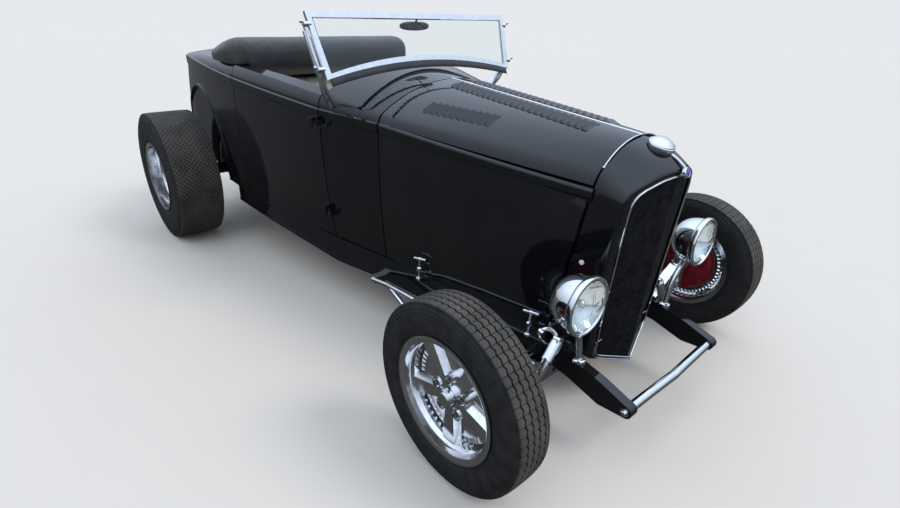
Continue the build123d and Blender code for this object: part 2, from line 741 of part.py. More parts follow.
def boot_section(front, low, top):
    """Side outline of the folded top: upright in front, round above, falling to the rear."""
    middle = (front + boot_rear) / 2
    with BuildLine() as outline:
        Line((aft(front + 24), low), (aft(boot_rear), low))
        Line((aft(boot_rear), low), (aft(boot_rear), top - 74))
        ThreePointArc((aft(boot_rear), top - 74), (aft(middle + 60), top - 10), (aft(middle - 60), top))
        ThreePointArc((aft(middle - 60), top), (aft(front + 14), top - 26), (aft(front), top - 80))
        Line((aft(front), top - 80), (aft(front + 24), low))
    make_face(outline.edges())


with BuildPart() as top_boot:
    with BuildSketch(Plane.YZ.offset(-boot_half)) as roll:
        boot_section(1908, 1034, 1240)
    extrude(amount=2 * boot_half)
    for side in (-1, 1):
        for x, front, low, top in ((boot_half, 2044, 1060, 1236), (boot_end, 2090, 1090, 1180)):
            with BuildSketch(Plane(origin=(side * x, 0, 0), x_dir=(0, 1, 0), z_dir=(1, 0, 0))):
                boot_section(front, low, top)
        loft(ruled=True)
    add(rear_solid, mode=Mode.SUBTRACT)
    slab((-440, 1935, 1034), (440, 2140, 1100))
finish(top_boot.part, "top_boot")

column_angle = 50
column_x, wheel_hub = 255, (1530, 1005)
column_direction = (0, cos(radians(column_angle)), sin(radians(column_angle)))


def on_column(distance):
    """Point on the column this far below the steering wheel's hub."""
    return (column_x, aft(wheel_hub[0]) - distance * column_direction[1],
            wheel_hub[1] - distance * column_direction[2])


with BuildPart() as steering_column:
    bar(on_column(800), on_column(30), 20)
finish(steering_column.part, "steering_column")
with BuildPart() as steering_wheel:
    wheel_plane = Plane(origin=on_column(0), x_dir=(1, 0, 0), z_dir=column_direction)
    with BuildSketch(Plane(origin=on_column(0), x_dir=(1, 0, 0), z_dir=wheel_plane.y_dir)):
        with Locations((165, 0)):
            RegularPolygon(11.5, 8)
    revolve(axis=Axis(on_column(0), column_direction))
    bar(on_column(22), on_column(-12), 26)
    with BuildSketch(wheel_plane):
        with PolarLocations(82, 3, start_angle=30):
            Rectangle(150, 22)
    extrude(amount=5, both=True)
finish(steering_wheel.part, "steering_wheel")

# Windshield: flat frame, glass, posts and the inside mirror
ws_low, ws_high = (540, 1065, 1117), (568, 1158, 1372)
ws_tilt = atan2(ws_high[1] - ws_low[1], ws_high[2] - ws_low[2])
ws_height = hypot(ws_high[1] - ws_low[1], ws_high[2] - ws_low[2])
ws_plane = Plane(origin=(0, aft(ws_low[1]), ws_low[2]), x_dir=(1, 0, 0),
                 z_dir=(0, -cos(ws_tilt), sin(ws_tilt)))
ws_arch = 62


def ws_outline(inset):
    with BuildLine() as outline:
        low, top = inset, ws_height - inset
        Line((ws_high[0] - inset, top), (-ws_high[0] + inset, top))
        Line((-ws_high[0] + inset, top), (-ws_low[0] + inset, low))
        ThreePointArc((-ws_low[0] + inset, low), (0, low + ws_arch), (ws_low[0] - inset, low))
        Line((ws_low[0] - inset, low), (ws_high[0] - inset, top))
    make_face(outline.edges())


with BuildPart() as windshield_frame:
    with BuildSketch(ws_plane):
        ws_outline(0)
    extrude(amount=8, both=True)
    with BuildSketch(ws_plane):
        ws_outline(24)
    extrude(amount=20, both=True, mode=Mode.SUBTRACT)
    for name, side in sides:
        bent_bar([(side * 482, aft(1140), 1000), (side * 520, aft(1120), 1075),
                  (side * 556, aft(1098), 1150), (side * 572, aft(1150), 1300)], 12)
        bar((side * 556, aft(1098), 1150), (side * 536, aft(1076), 1150), 9)
    add(cowl.part, mode=Mode.SUBTRACT)
finish(windshield_frame.part, "windshield_frame")
with BuildPart() as windshield_glass:
    with BuildSketch(ws_plane):
        ws_outline(24.3)
    extrude(amount=2.5, both=True)
finish(windshield_glass.part, "windshield_glass")
with BuildPart() as mirror:
    slab((-64, 1195, 1298), (112, 1215, 1340))
    bar((24, aft(1205), 1335), (24, aft(1150), 1362), 5)
    add(windshield_frame.part, mode=Mode.SUBTRACT)
finish(mirror.part, "mirror")

# Rear axle with its torque tube, springs, tank, exhaust and lamps
axle_y, axle_z = aft(wheelbase), rear_tyre_radius
with BuildPart() as rear_axle:
    bar((-650, axle_y, axle_z), (650, axle_y, axle_z), 38)
    bar((-795, axle_y, axle_z), (795, axle_y, axle_z), spindle_radius)
    for side in (-1, 1):
        bar((side * 676, axle_y, axle_z), (side * 684, axle_y, axle_z), 142)
        bar((side * 640, axle_y, axle_z), (side * 680, axle_y, axle_z), 60)
    with Locations((0, axle_y, axle_z)):
        Sphere(125)
    bar((0, axle_y, axle_z), (0, aft(1338), 272), 36)
finish(rear_axle.part, "rear_axle")
for name, side in sides:
    with BuildPart() as rear_suspension:
        bar((side * 350, aft(2735), 352), (side * 350, aft(2735), 560), 30)
        bar((side * 350, aft(2735), 540), (side * 350, aft(2771), 540), 12)
        slab((min(side * 330, side * 370), 2640, 330), (max(side * 330, side * 370), 2770, 380))
        add(rear_axle.part, mode=Mode.SUBTRACT)
        add(crossmember_rear.part, mode=Mode.SUBTRACT)
    finish(rear_suspension.part, f"rear_suspension_{name}")
    with BuildPart() as exhaust:
        bar((side * 290, aft(820), 218), (side * 290, aft(3250), 242), 26)
        bar((side * 290, aft(1500), 225), (side * 290, aft(1950), 229), 55)
    finish(exhaust.part, f"exhaust_{name}")
with BuildPart() as fuel_tank:
    slab((-405, 3000, 415), (405, 3230, 575))
    fillet(fuel_tank.edges().filter_by(Axis.X), 50)
finish(fuel_tank.part, "fuel_tank")
with BuildPart() as tail_lamps:
    for name, side in sides:
        bar((side * 392, aft(3150), 740), (side * 392, aft(3262), 740), 42)
    add(tail_solid, mode=Mode.SUBTRACT)
finish(tail_lamps.part, "tail_lamps")

# Wheels by axle. Columns: name, wheel centre x, place along Y, tyre radius,
# tyre width, rim radius, spoke face depth behind the rim's outer lip, drum depth.
wheel_table = (
    ("front", front_wheel_x, 0, front_tyre_radius, front_tyre_width, front_rim_radius, 38, front_drum),
    ("rear", rear_wheel_x, wheelbase, rear_tyre_radius, rear_tyre_width, rear_rim_radius, 78, rear_drum),
)
wheel_rows = [(f"{axle}_{name}", side, *sizes) for axle, *sizes in wheel_table for name, side in sides]
spokes, spoke_depth, hub_radius, cap_radius, bolt_circle, drum_radius = 5, 22, 66, 29, 60, 146
for name, side, centre_x, station, radius, width, rim, dish, drum in wheel_rows:
    half = width / 2
    centre = (side * centre_x, aft(station), radius)
    wheel_axis = Axis(centre, (side, 0, 0))
    profile_plane = Plane(origin=centre, x_dir=(side, 0, 0), z_dir=(0, -side, 0))
    with BuildPart() as tyre:
        with BuildSketch(profile_plane):
            with BuildLine():
                widest = (rim + radius) / 2 - 8
                Polyline((-half + 13, rim - 14), (half - 13, rim - 14), (half, widest), (half - 14, radius),
                         (-half + 14, radius), (-half, widest), close=True)
            make_face()
        revolve(axis=wheel_axis)
    finish(tyre.part, f"tyre_{name}")
    with BuildPart() as wheel:
        with BuildSketch(profile_plane):
            with BuildLine():
                Polyline((half - 4, rim + 1), (half - 9, rim + 1), (half - 11, rim - 14.5),
                         (-half + 11, rim - 14.5), (-half + 9, rim + 1), (-half + 4, rim + 1),
                         (-half + 4, rim - 18), (-half + 30, rim - 30), (half - dish - 6, rim - 30),
                         (half - dish + 6, rim - 22), (half - 10, rim - 20), (half - 4, rim - 8), close=True)
            make_face()
        revolve(axis=wheel_axis)
        face_x = centre_x + half - dish - 24
        face_plane = Plane(origin=(side * face_x, aft(station), radius), x_dir=(0, 1, 0), z_dir=(side, 0, 0))
        for step in range(spokes):
            turn = radians(90 + 360 / spokes * step)
            spoke_plane = Plane(origin=face_plane.origin, z_dir=face_plane.z_dir,
                                x_dir=face_plane.x_dir * cos(turn) + face_plane.y_dir * sin(turn))
            for depth, root, tip in ((0, 27, 40), (spoke_depth, 17, 27)):
                with BuildSketch(spoke_plane.offset(depth)):
                    Polygon((30, -root), (rim - 25, -tip), (rim - 25, tip), (30, root), align=None)
            loft(ruled=True)
        for circle_radius, low, high in ((hub_radius, 0, 14), (cap_radius, 0, 44), (cap_radius - 6, 44, 50)):
            with BuildSketch(face_plane.offset(low)) as disc:
                Circle(circle_radius)
            extrude(amount=high - low)
        with BuildSketch(face_plane) as bosses:
            with PolarLocations(bolt_circle, spokes, start_angle=90 + 180 / spokes):
                Circle(19)
        extrude(amount=27)
        with BuildSketch(face_plane.offset(17)) as recesses:
            with PolarLocations(bolt_circle, spokes, start_angle=90 + 180 / spokes):
                Circle(14)
                RegularPolygon(10, 6, mode=Mode.SUBTRACT)
        extrude(amount=20, mode=Mode.SUBTRACT)
        with BuildSketch(face_plane) as drum_face:
            Circle(drum_radius)
        extrude(amount=-drum)
        with BuildSketch(face_plane.offset(-drum + 4)) as fins:
            with PolarLocations(drum_radius + 2, 40):
                Rectangle(12, 4)
        extrude(amount=drum - 10)
        with BuildSketch(face_plane.offset(-drum)) as bore:
            Circle(spindle_radius + 0.4)
        extrude(amount=drum + 16, mode=Mode.SUBTRACT)
    finish(wheel.part, f"wheel_{name}")

# Steering knuckles with their spindles, backing plates and arms
for name, side in sides:
    with BuildPart() as knuckle:
        bar((side * kingpin_x, aft(0), 200), (side * kingpin_x, aft(0), 234), 22)
        bar((side * kingpin_x, aft(0), 352), (side * kingpin_x, aft(0), 380), 22)
        slab((min(side * 678, side * 694), -22, 200), (max(side * 678, side * 694), 22, 380))
        for low, high in ((200, 234), (352, 380)):
            inner, outer = sorted((side * kingpin_x, side * 690))
            slab((inner, -20, low), (outer, 20, high))
        bar((side * 690, aft(0), front_tyre_radius), (side * 770, aft(0), front_tyre_radius), spindle_radius)
        bar((side * 728, aft(0), front_tyre_radius), (side * 736, aft(0), front_tyre_radius), 142)
        bar((side * 690, aft(0), front_tyre_radius), (side * 730, aft(0), front_tyre_radius), 34)
        bar((side * kingpin_x, aft(0), 206), (side * kingpin_x, aft(steering_arm), 179), 12)
        bar((side * kingpin_x, aft(steering_arm), 166), (side * kingpin_x, aft(steering_arm), 192), 14)
    finish(knuckle.part, f"knuckle_{name}")
with BuildPart() as tie_rod:
    bar((-kingpin_x, aft(steering_arm), 149), (kingpin_x, aft(steering_arm), 149), 11)
    for side in (-1, 1):
        bar((side * kingpin_x, aft(steering_arm), 134), (side * kingpin_x, aft(steering_arm), 165), 14)
finish(tie_rod.part, "tie_rod")
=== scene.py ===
import json
import math

import bmesh
import bpy
import numpy as np
from mathutils import Matrix


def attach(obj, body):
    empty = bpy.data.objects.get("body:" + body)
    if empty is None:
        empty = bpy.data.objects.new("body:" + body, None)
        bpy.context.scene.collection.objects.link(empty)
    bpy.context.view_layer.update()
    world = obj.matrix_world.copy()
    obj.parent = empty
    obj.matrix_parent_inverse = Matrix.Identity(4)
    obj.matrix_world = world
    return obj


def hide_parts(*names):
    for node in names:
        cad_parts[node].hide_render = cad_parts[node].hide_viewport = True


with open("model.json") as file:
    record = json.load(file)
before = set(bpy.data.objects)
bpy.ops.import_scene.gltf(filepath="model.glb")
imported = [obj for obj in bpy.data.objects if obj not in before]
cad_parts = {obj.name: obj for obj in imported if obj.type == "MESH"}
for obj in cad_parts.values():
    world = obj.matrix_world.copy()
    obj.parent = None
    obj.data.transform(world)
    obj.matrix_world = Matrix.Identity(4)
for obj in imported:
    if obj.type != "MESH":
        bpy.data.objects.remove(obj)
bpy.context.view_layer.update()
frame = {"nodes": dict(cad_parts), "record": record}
nodes = frame["nodes"]
print("frame loaded")

frontAxleY = -1.454   # metres along Y, as in the record
making = {"weldCells": 5e4,      # cells per metre: construction corners in one cell are the same corner
          "doubleGap": 2e-6,     # metres between points of a made mesh that count as one
          "bevelSegments": 2, "bevelAngle": 38}


def toFrame(points):
    # millimetres across, aft of the front axle and up, carried to metres in the frame
    return np.asarray(points, float) / 1000 + (0, frontAxleY, 0)


bodies = frame["record"]["behaviour"]["bodies"]
bodyOf = {node: body for body, members in bodies.items() for node in members}
slotOf = {part["node"]: part["material_slot"] for part in frame["record"]["subparts"]}


# Shapes as numpy arrays: each helper returns points in millimetres and faces

def gridFaces(rows, columns, closeRows, closeColumns):
    # quads between neighbouring points of a grid, wrapped round where it is closed
    i = np.arange(rows if closeRows else rows - 1)
    j = np.arange(columns if closeColumns else columns - 1)
    i, j = (axis.ravel() for axis in np.meshgrid(i, j, indexing="ij"))
    nextI, nextJ = (i + 1) % rows, (j + 1) % columns
    return np.stack((i * columns + j, nextI * columns + j, nextI * columns + nextJ, i * columns + nextJ), 1)


def surface(grid, closeRows=False, closeColumns=False, caps=False):
    # a grid of points as quads, with a flat cap on its first and last row
    rows, columns = grid.shape[:2]
    faces = gridFaces(rows, columns, closeRows, closeColumns).tolist()
    if caps:
        faces += [list(range(columns)), list(range((rows - 1) * columns, rows * columns))[::-1]]
    return grid.reshape(-1, 3), faces


def curveThrough(points, count):
    # cubic on each span between two points, whose slopes are those of its neighbours' chord
    p = np.asarray(points, float)
    chord = np.r_[0, np.cumsum(np.linalg.norm(np.diff(p, axis=0), axis=1))]
    slope = np.gradient(p, chord, axis=0)
    t = np.linspace(0, chord[-1], count)
    k = np.clip(np.searchsorted(chord, t, side="right") - 1, 0, len(p) - 2)
    h = (chord[k + 1] - chord[k])[:, None]
    s = (t - chord[k])[:, None] / h
    return ((2 * s**3 - 3 * s**2 + 1) * p[k] + (s**3 - 2 * s**2 + s) * h * slope[k]
            + (3 * s**2 - 2 * s**3) * p[k + 1] + (s**3 - s**2) * h * slope[k + 1])


def unit(vectors):
    # each vector over its own length
    return vectors / np.linalg.norm(vectors, axis=-1, keepdims=True)


def tube(path, radius, around, flat=1.0, closed=False):
    # a circle, or an ellipse where flat is under 1, carried along a path square to its direction
    path = np.asarray(path, float)
    if closed:
        along = unit(np.roll(path, -1, 0) - np.roll(path, 1, 0))
    else:
        along = unit(np.gradient(path, axis=0))
    reference = np.eye(3)[np.abs(along).max(0).argmin()]
    side = unit(np.cross(along, reference))
    up = np.cross(side, along)
    turn = np.linspace(0, 2 * np.pi, around, endpoint=False)[None, :, None]
    radius = np.broadcast_to(radius, len(path))[:, None, None]
    grid = path[:, None] + radius * (np.cos(turn) * side[:, None] + flat * np.sin(turn) * up[:, None])
    return surface(grid, closeRows=closed, closeColumns=True, caps=not closed)


def revolved(profile, centre, axis, around, closed=False):
    # profile rows of place along the axis and radius, turned about the axis
    profile, axis = np.asarray(profile, float), unit(np.asarray(axis, float))
    first = unit(np.cross(axis, np.eye(3)[np.abs(axis).argmin()]))
    second = np.cross(axis, first)
    turn = np.linspace(0, 2 * np.pi, around, endpoint=False)[:, None, None]
    ring = np.cos(turn) * first + np.sin(turn) * second
    grid = np.asarray(centre) + profile[None, :, :1] * axis + profile[None, :, 1:] * ring
    return surface(grid, closeRows=True, closeColumns=closed)


def ball(centre, radius, squash=1.0, axis=(0, 0, 1)):
    # half circle from pole to pole, turned about the axis
    t = np.linspace(-np.pi / 2, np.pi / 2, 13)
    return revolved(np.stack((radius * squash * np.sin(t), radius * np.cos(t)), 1), centre, axis, 24)


def mergedNode(name):
    # the loose triangles of a construction node, with corners at the same place made one
    source = nodes[name].data
    places = np.empty(len(source.vertices) * 3)
    source.vertices.foreach_get("co", places)
    corners = np.empty(len(source.loops), int)
    source.loops.foreach_get("vertex_index", corners)
    cells = np.round(places.reshape(-1, 3) * making["weldCells"]).astype(int)
    _, first, back = np.unique(cells, axis=0, return_index=True, return_inverse=True)
    triangles = back.reshape(-1)[corners].reshape(-1, 3)
    whole = np.all(triangles != np.roll(triangles, 1, 1), 1)
    return places.reshape(-1, 3)[first], triangles[whole].tolist()


def meshObject(name, points, faces, sharp, flatten=0):
    # one mesh with outward faces, smooth but for edges sharper than an angle in degrees
    mesh = bpy.data.meshes.new(name)
    mesh.from_pydata(points.tolist(), [], faces)
    shape = bmesh.new()
    shape.from_mesh(mesh)
    bmesh.ops.remove_doubles(shape, verts=shape.verts, dist=making["doubleGap"])
    if flatten:
        bmesh.ops.dissolve_limit(shape, angle_limit=math.radians(flatten), verts=shape.verts,
                                 edges=shape.edges)
    bmesh.ops.recalc_face_normals(shape, faces=shape.faces)
    shape.to_mesh(mesh)
    shape.free()
    mesh.polygons.foreach_set("use_smooth", [True] * len(mesh.polygons))
    mesh.set_sharp_from_angle(angle=math.radians(sharp))
    piece = bpy.data.objects.new(name, mesh)
    bpy.context.scene.collection.objects.link(piece)
    return piece


def fasten(piece, finish, body, hides, bevel=0):
    # material, body, replaced nodes and rounded edges of a new piece
    piece.data.materials.clear()
    piece.data.materials.append(finish)
    if bevel:
        rounding = piece.modifiers.new("rounding", "BEVEL")
        rounding.width = bevel / 1000
        rounding.segments = making["bevelSegments"]
        rounding.limit_method = "ANGLE"
        rounding.angle_limit = math.radians(making["bevelAngle"])
        rounding.harden_normals = True
    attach(piece, body)
    if hides:
        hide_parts(*hides)
    return piece


def addPiece(name, parts, finish, body, hides=(), slot=None, sharp=32, bevel=0):
    # several surfaces in millimetres as one piece: a part's points are numbered after those before it
    counts = np.cumsum([0] + [len(points) for points, faces in parts])
    points = np.concatenate([points for points, faces in parts])
    faces = [[index + start for index in face]
             for start, (_, part) in zip(counts, parts) for face in part]
    return fasten(meshObject(name, toFrame(points), faces, sharp), finish, body, hides, bevel)


# Materials: small helpers first, then one function for each finish

def surfaceOf(material):
    return material.node_tree.nodes["Principled BSDF"]


def newMaterial(name, **sockets):
    material = bpy.data.materials.new(name)
    material.use_nodes = True
    for socket, value in sockets.items():
        surfaceOf(material).inputs[socket.replace("_", " ")].default_value = value
    return material


def addNode(material, kind, settings=None, **inputs):
    node = material.node_tree.nodes.new(kind)
    for key, value in (settings or {}).items():
        setattr(node, key, value)
    for key, value in inputs.items():
        wire(material, value, node.inputs[key.replace("_", " ")])
    return node


def wire(material, value, socket):
    # links a socket to a socket, or sets a plain value on it
    if isinstance(value, bpy.types.NodeSocket):
        material.node_tree.links.new(value, socket)
    else:
        socket.default_value = value


def objectPlace(material):
    # Object coordinates, for a pattern that stays on the piece
    return addNode(material, "ShaderNodeTexCoord").outputs["Object"]


def noiseAt(material, scale, detail):
    # a value that varies from place to place on the piece
    return addNode(material, "ShaderNodeTexNoise", Vector=objectPlace(material),
                   Scale=scale, Detail=detail).outputs["Fac"]


def ranged(material, value, low, high, start=0.3, end=0.7):
    # carries a pattern's values from start..end to low..high
    node = addNode(material, "ShaderNodeMapRange", Value=value)
    for socket, number in zip(("From Min", "From Max", "To Min", "To Max"), (start, end, low, high)):
        node.inputs[socket].default_value = number
    return node.outputs["Result"]


def mixed(material, factor, first, second):
    # first where the factor is 0, second where it is 1
    mix = addNode(material, "ShaderNodeMix", {"data_type": "RGBA"})
    for socket, value in ((0, factor), (6, first), (7, second)):
        wire(material, value, mix.inputs[socket])
    return mix.outputs[2]


def twoColours(material, factor, first, second):
    # the same for two plain colours
    return mixed(material, factor, (*first, 1), (*second, 1))


def mottled(material, scale, detail, first, second):
    # two tones in patches
    return twoColours(material, ranged(material, noiseAt(material, scale, detail), 0, 1), first, second)


def setColour(material, colour):
    wire(material, colour, surfaceOf(material).inputs["Base Color"])


def setRoughness(material, scale, detail, low, high):
    # varies in patches between two values
    wire(material, ranged(material, noiseAt(material, scale, detail), low, high),
         surfaceOf(material).inputs["Roughness"])


def addBump(material, height, strength, distance):
    # distance is the relief in metres
    bump = addNode(material, "ShaderNodeBump", Height=height, Strength=strength, Distance=distance)
    wire(material, bump.outputs["Normal"], surfaceOf(material).inputs["Normal"])


def addGrain(material, scale, strength, distance):
    # the small cells of hide and coated cloth
    cells = addNode(material, "ShaderNodeTexVoronoi", Vector=objectPlace(material), Scale=scale)
    addBump(material, cells.outputs["Distance"], strength, distance)


paint = {"colour": (0.004, 0.004, 0.005), "dust": (0.012, 0.012, 0.0115), "low": 0.03, "high": 0.08,
         "coat": 0.35, "coatRoughness": 0.02, "specular": 0.42, "peelScale": 260, "peel": 0.004}


def makeBlackPaint():
    # gloss under a thin coat, with faint dust patches and orange peel
    m = newMaterial("blackPaint", Coat_Weight=paint["coat"], Coat_Roughness=paint["coatRoughness"],
                    Specular_IOR_Level=paint["specular"])
    dustPatches = ranged(m, noiseAt(m, 5, 6), 0, 0.35, 0.52, 0.75)
    setColour(m, twoColours(m, dustPatches, paint["colour"], paint["dust"]))
    setRoughness(m, 14, 5, paint["low"], paint["high"])
    addBump(m, noiseAt(m, paint["peelScale"], 2), paint["peel"], 0.0004)
    return m


def makeChassisBlack(name="chassisBlack", tone=(0.006, 0.006, 0.0065), roughness=0.07):
    # brushed enamel, also in other tones
    m = newMaterial(name, Coat_Weight=0.2, Coat_Roughness=0.06, Specular_IOR_Level=0.3)
    setColour(m, mottled(m, 30, 6, tone, tuple(part * 2.4 for part in tone)))
    setRoughness(m, 60, 4, roughness, roughness + 0.15)
    addBump(m, noiseAt(m, 400, 3), 0.08, 0.0005)
    return m


def makeMetal(name, light, dark, low, high, bump=0.006):
    # light and dark patches, rougher in some places
    m = newMaterial(name, Metallic=1.0)
    setColour(m, mottled(m, 40, 5, light, dark))
    setRoughness(m, 80, 4, low, high)
    addBump(m, noiseAt(m, 300, 2), bump, 0.0003)
    return m


def makeTyreRubber():
    # dark rubber, paler and browner on the tread's raised faces: partly dust and scuffing, partly painted
    # light that keeps the grooves dark as painted shade
    m = newMaterial("tyreRubber", Specular_IOR_Level=0.3)
    scuffAndLightShare = addNode(m, "ShaderNodeAttribute", {"attribute_name": "scuffAndLight"}).outputs["Fac"]
    plain = mottled(m, 24, 6, (0.007, 0.007, 0.0075), (0.018, 0.0175, 0.017))
    # the paler brown of the tread's raised faces, partly dust and partly a painted highlight
    scuffedLitTop = mottled(m, 9, 7, (0.04, 0.036, 0.031), (0.085, 0.076, 0.064))
    setColour(m, mixed(m, scuffAndLightShare, plain, scuffedLitTop))
    setRoughness(m, 90, 4, 0.55, 0.8)
    addBump(m, noiseAt(m, 500, 3), 0.15, 0.0006)
    return m


def makeGlass():
    m = newMaterial("clearGlass", Base_Color=(0.93, 0.97, 0.96, 1), Transmission_Weight=1.0, IOR=1.3)
    setRoughness(m, 12, 4, 0, 0.02)
    return m


def makeRedLens():
    # narrow ribs across the lens
    m = newMaterial("redLens", Base_Color=(0.42, 0.008, 0.006, 1), Roughness=0.12, Coat_Weight=0.8)
    rings = addNode(m, "ShaderNodeTexWave", {"wave_type": "BANDS", "bands_direction": "X"},
                    Vector=objectPlace(m), Scale=60)
    addBump(m, rings.outputs["Fac"], 0.3, 0.001)
    return m


def makeLeather():
    # cream hide, a little darker in patches
    m = newMaterial("creamLeather", Sheen_Weight=0.15)
    setColour(m, mottled(m, 9, 6, (0.74, 0.69, 0.57), (0.62, 0.56, 0.44)))
    setRoughness(m, 60, 3, 0.42, 0.6)
    addGrain(m, 420, 0.25, 0.0006)
    return m


def makeVinyl():
    # coated cloth of the folded top and the rubber parts
    m = newMaterial("blackVinyl", Sheen_Weight=0.12)
    setColour(m, mottled(m, 14, 6, (0.010, 0.010, 0.011), (0.024, 0.024, 0.025)))
    setRoughness(m, 40, 4, 0.38, 0.58)
    addGrain(m, 650, 0.3, 0.0005)
    return m


finishes = {
    "black_paint": makeBlackPaint(),
    "chassis_black": makeChassisBlack(),
    "chrome": makeMetal("chrome", (0.83, 0.84, 0.85), (0.74, 0.75, 0.76), 0.03, 0.09),
    "silver_tube": makeMetal("silverTube", (0.62, 0.62, 0.6), (0.5, 0.5, 0.48), 0.22, 0.35),
    "steel": makeMetal("steel", (0.5, 0.5, 0.5), (0.36, 0.35, 0.34), 0.25, 0.45),
    "cast_engine": makeMetal("castEngine", (0.12, 0.12, 0.125), (0.06, 0.06, 0.06), 0.5, 0.7, bump=0.3),
    "polished_wheel": makeMetal("polishedWheel", (0.82, 0.82, 0.83), (0.7, 0.7, 0.71), 0.08, 0.2),
    "tyre_rubber": makeTyreRubber(),
    "clear_glass": makeGlass(),
    "red_lens": makeRedLens(),
    "cream_leather": makeLeather(),
    "black_vinyl": makeVinyl(),
    "grille_black": makeChassisBlack("grilleBlack", (0.007, 0.007, 0.008), 0.14),
    "maroon": makeChassisBlack("maroonPaint", (0.07, 0.004, 0.006), 0.12),
    # the badge face's deep blue is a painted glint, the flare of light on the badge
    "badgeGlintBlue": newMaterial("paintedGlintBlue", Base_Color=(0.03, 0.025, 0.35, 1), Roughness=0.08,
                          Coat_Weight=1.0),
    "wheel_rim_black": newMaterial("wheelRimBlack", Roughness=0.2, Base_Color=(0.01, 0.01, 0.01, 1),
                                   Coat_Weight=0.5),
}

# Construction nodes whose shape is right: the same shape with its corners merged and its edges
# rounded. Columns: node, sharpest smooth angle, edge radius in millimetres, flat faces merged.

dressing = (
    ("cowl", 24, 0, 0), ("door_right", 24, 0, 0), ("door_left", 24, 0, 0), ("body_rear", 24, 0, 0),
    ("deck_lid", 24, 0, 0), ("hood_side_right", 24, 0, 0), ("hood_side_left", 24, 0, 0),
    ("rail_right", 20, 0, 0), ("rail_left", 20, 0, 0), ("floor", 30, 0, 0),
    ("hood_hinge", 40, 0, 0), ("crossmember_front", 30, 3, 1), ("crossmember_center", 30, 3, 1),
    ("crossmember_rear", 30, 3, 1), ("front_axle", 30, 0, 0), ("front_spring", 30, 0, 0),
    ("radius_rod_right", 40, 0, 0), ("radius_rod_left", 40, 0, 0),
    ("knuckle_right", 40, 0, 0), ("knuckle_left", 40, 0, 0),
    ("tie_rod", 40, 0, 0), ("radiator", 30, 4, 1), ("engine", 30, 12, 1),
    ("steering_column", 40, 0, 0), ("steering_wheel", 50, 0, 0), ("windshield_frame", 30, 0, 0),
    ("rear_axle", 35, 0, 0), ("rear_suspension_right", 35, 0, 0), ("rear_suspension_left", 35, 0, 0),
    ("exhaust_right", 40, 0, 0), ("exhaust_left", 40, 0, 0), ("fuel_tank", 35, 0, 0),
    ("tail_lamps", 40, 0, 0), ("wheel_front_right", 30, 0, 0), ("wheel_front_left", 30, 0, 0),
    ("wheel_rear_right", 30, 0, 0), ("wheel_rear_left", 30, 0, 0),
)
for node, sharp, bevel, flatten in dressing:
    points, triangles = mergedNode(node)
    skin = meshObject(f"{node}_skin", points, triangles, sharp, flatten)
    fasten(skin, finishes[slotOf[node]], bodyOf[node], (node,), bevel=bevel)
print("construction pieces dressed")

# Tyres: across a tread with grooves and sidewalls, carried round the wheel

tyres = {"frontX": 762, "frontRadius": 317, "frontHalf": 71, "frontRim": 207, "frontPitches": 70,
         "rearX": 757, "rearRadius": 395, "rearHalf": 140, "rearRim": 214, "wheelbase": 2692,
         "grooveDepth": 7, "sipeDepth": 4.5, "zigzag": 2.6, "crown": 2.5, "wallBulge": 11,
         "shoulder": ((60, -4.5), (57, -1.2)), "grooves": (-36, -12, 12, 36), "grooveLip": 3.2,
         "grooveFoot": 2.2, "diamondCell": 4.5, "diamondPitch": 6, "diamondDepth": 6, "diamondHalf": 28,
         "diamondRows": 552, "frontWallDrop": 12, "rearWallDrop": 10, "beadRise": 4, "beadIn": 14,
         "beadDrop": 8, "rings": (0.16, 0.78, 0.9), "ringHeight": 1.0,
         "ringEdges": (-0.03, -0.02, 0.02, 0.03), "ringHalf": 0.025,
         # how far below the tread's top the paler colour, partly scuffing and partly painted light, starts,
         # and over how much height it grows
         "frontScuffAndLight": (5.5, 3), "rearScuffAndLight": (5, 2.5)}


def sidewall(half, rim, top):
    # from the bead outwards: how far out the wall stands is greatest halfway up its height
    ringPlaces = np.add.outer(tyres["rings"], tyres["ringEdges"]).ravel()
    t = np.sort(np.concatenate((np.linspace(0, 1, 15), ringPlaces)))
    rise = tyres["beadRise"]
    height = rim + rise + (top - rim - rise) * t
    out = half - tyres["wallBulge"] * np.abs(2 * t - 1) ** 2.3
    raised = np.any([np.abs(t - at) < tyres["ringHalf"] for at in tyres["rings"]], 0)
    return np.stack((out + tyres["ringHeight"] * raised, height), 1)


def beads(half, rim):
    # the two inner edges on the rim
    x, z = half - tyres["beadIn"], rim - tyres["beadDrop"]
    return np.array([(x, z), (-x, z)])


def tyreRing(profile, lowered, shifted, angles, pull, shift, centre, side):
    # each profile point goes round the axle, lowered and shifted sideways where the tread is cut
    across = profile[None, :, 0] + shift[:, None] * shifted[None, :]
    height = profile[None, :, 1] - pull[:, None] * lowered[None, :]
    x, aft, z = centre
    grid = np.stack((x + side * across, aft + height * np.cos(angles)[:, None],
                     z + height * np.sin(angles)[:, None]), 2)
    return surface(grid, closeRows=True, closeColumns=True)


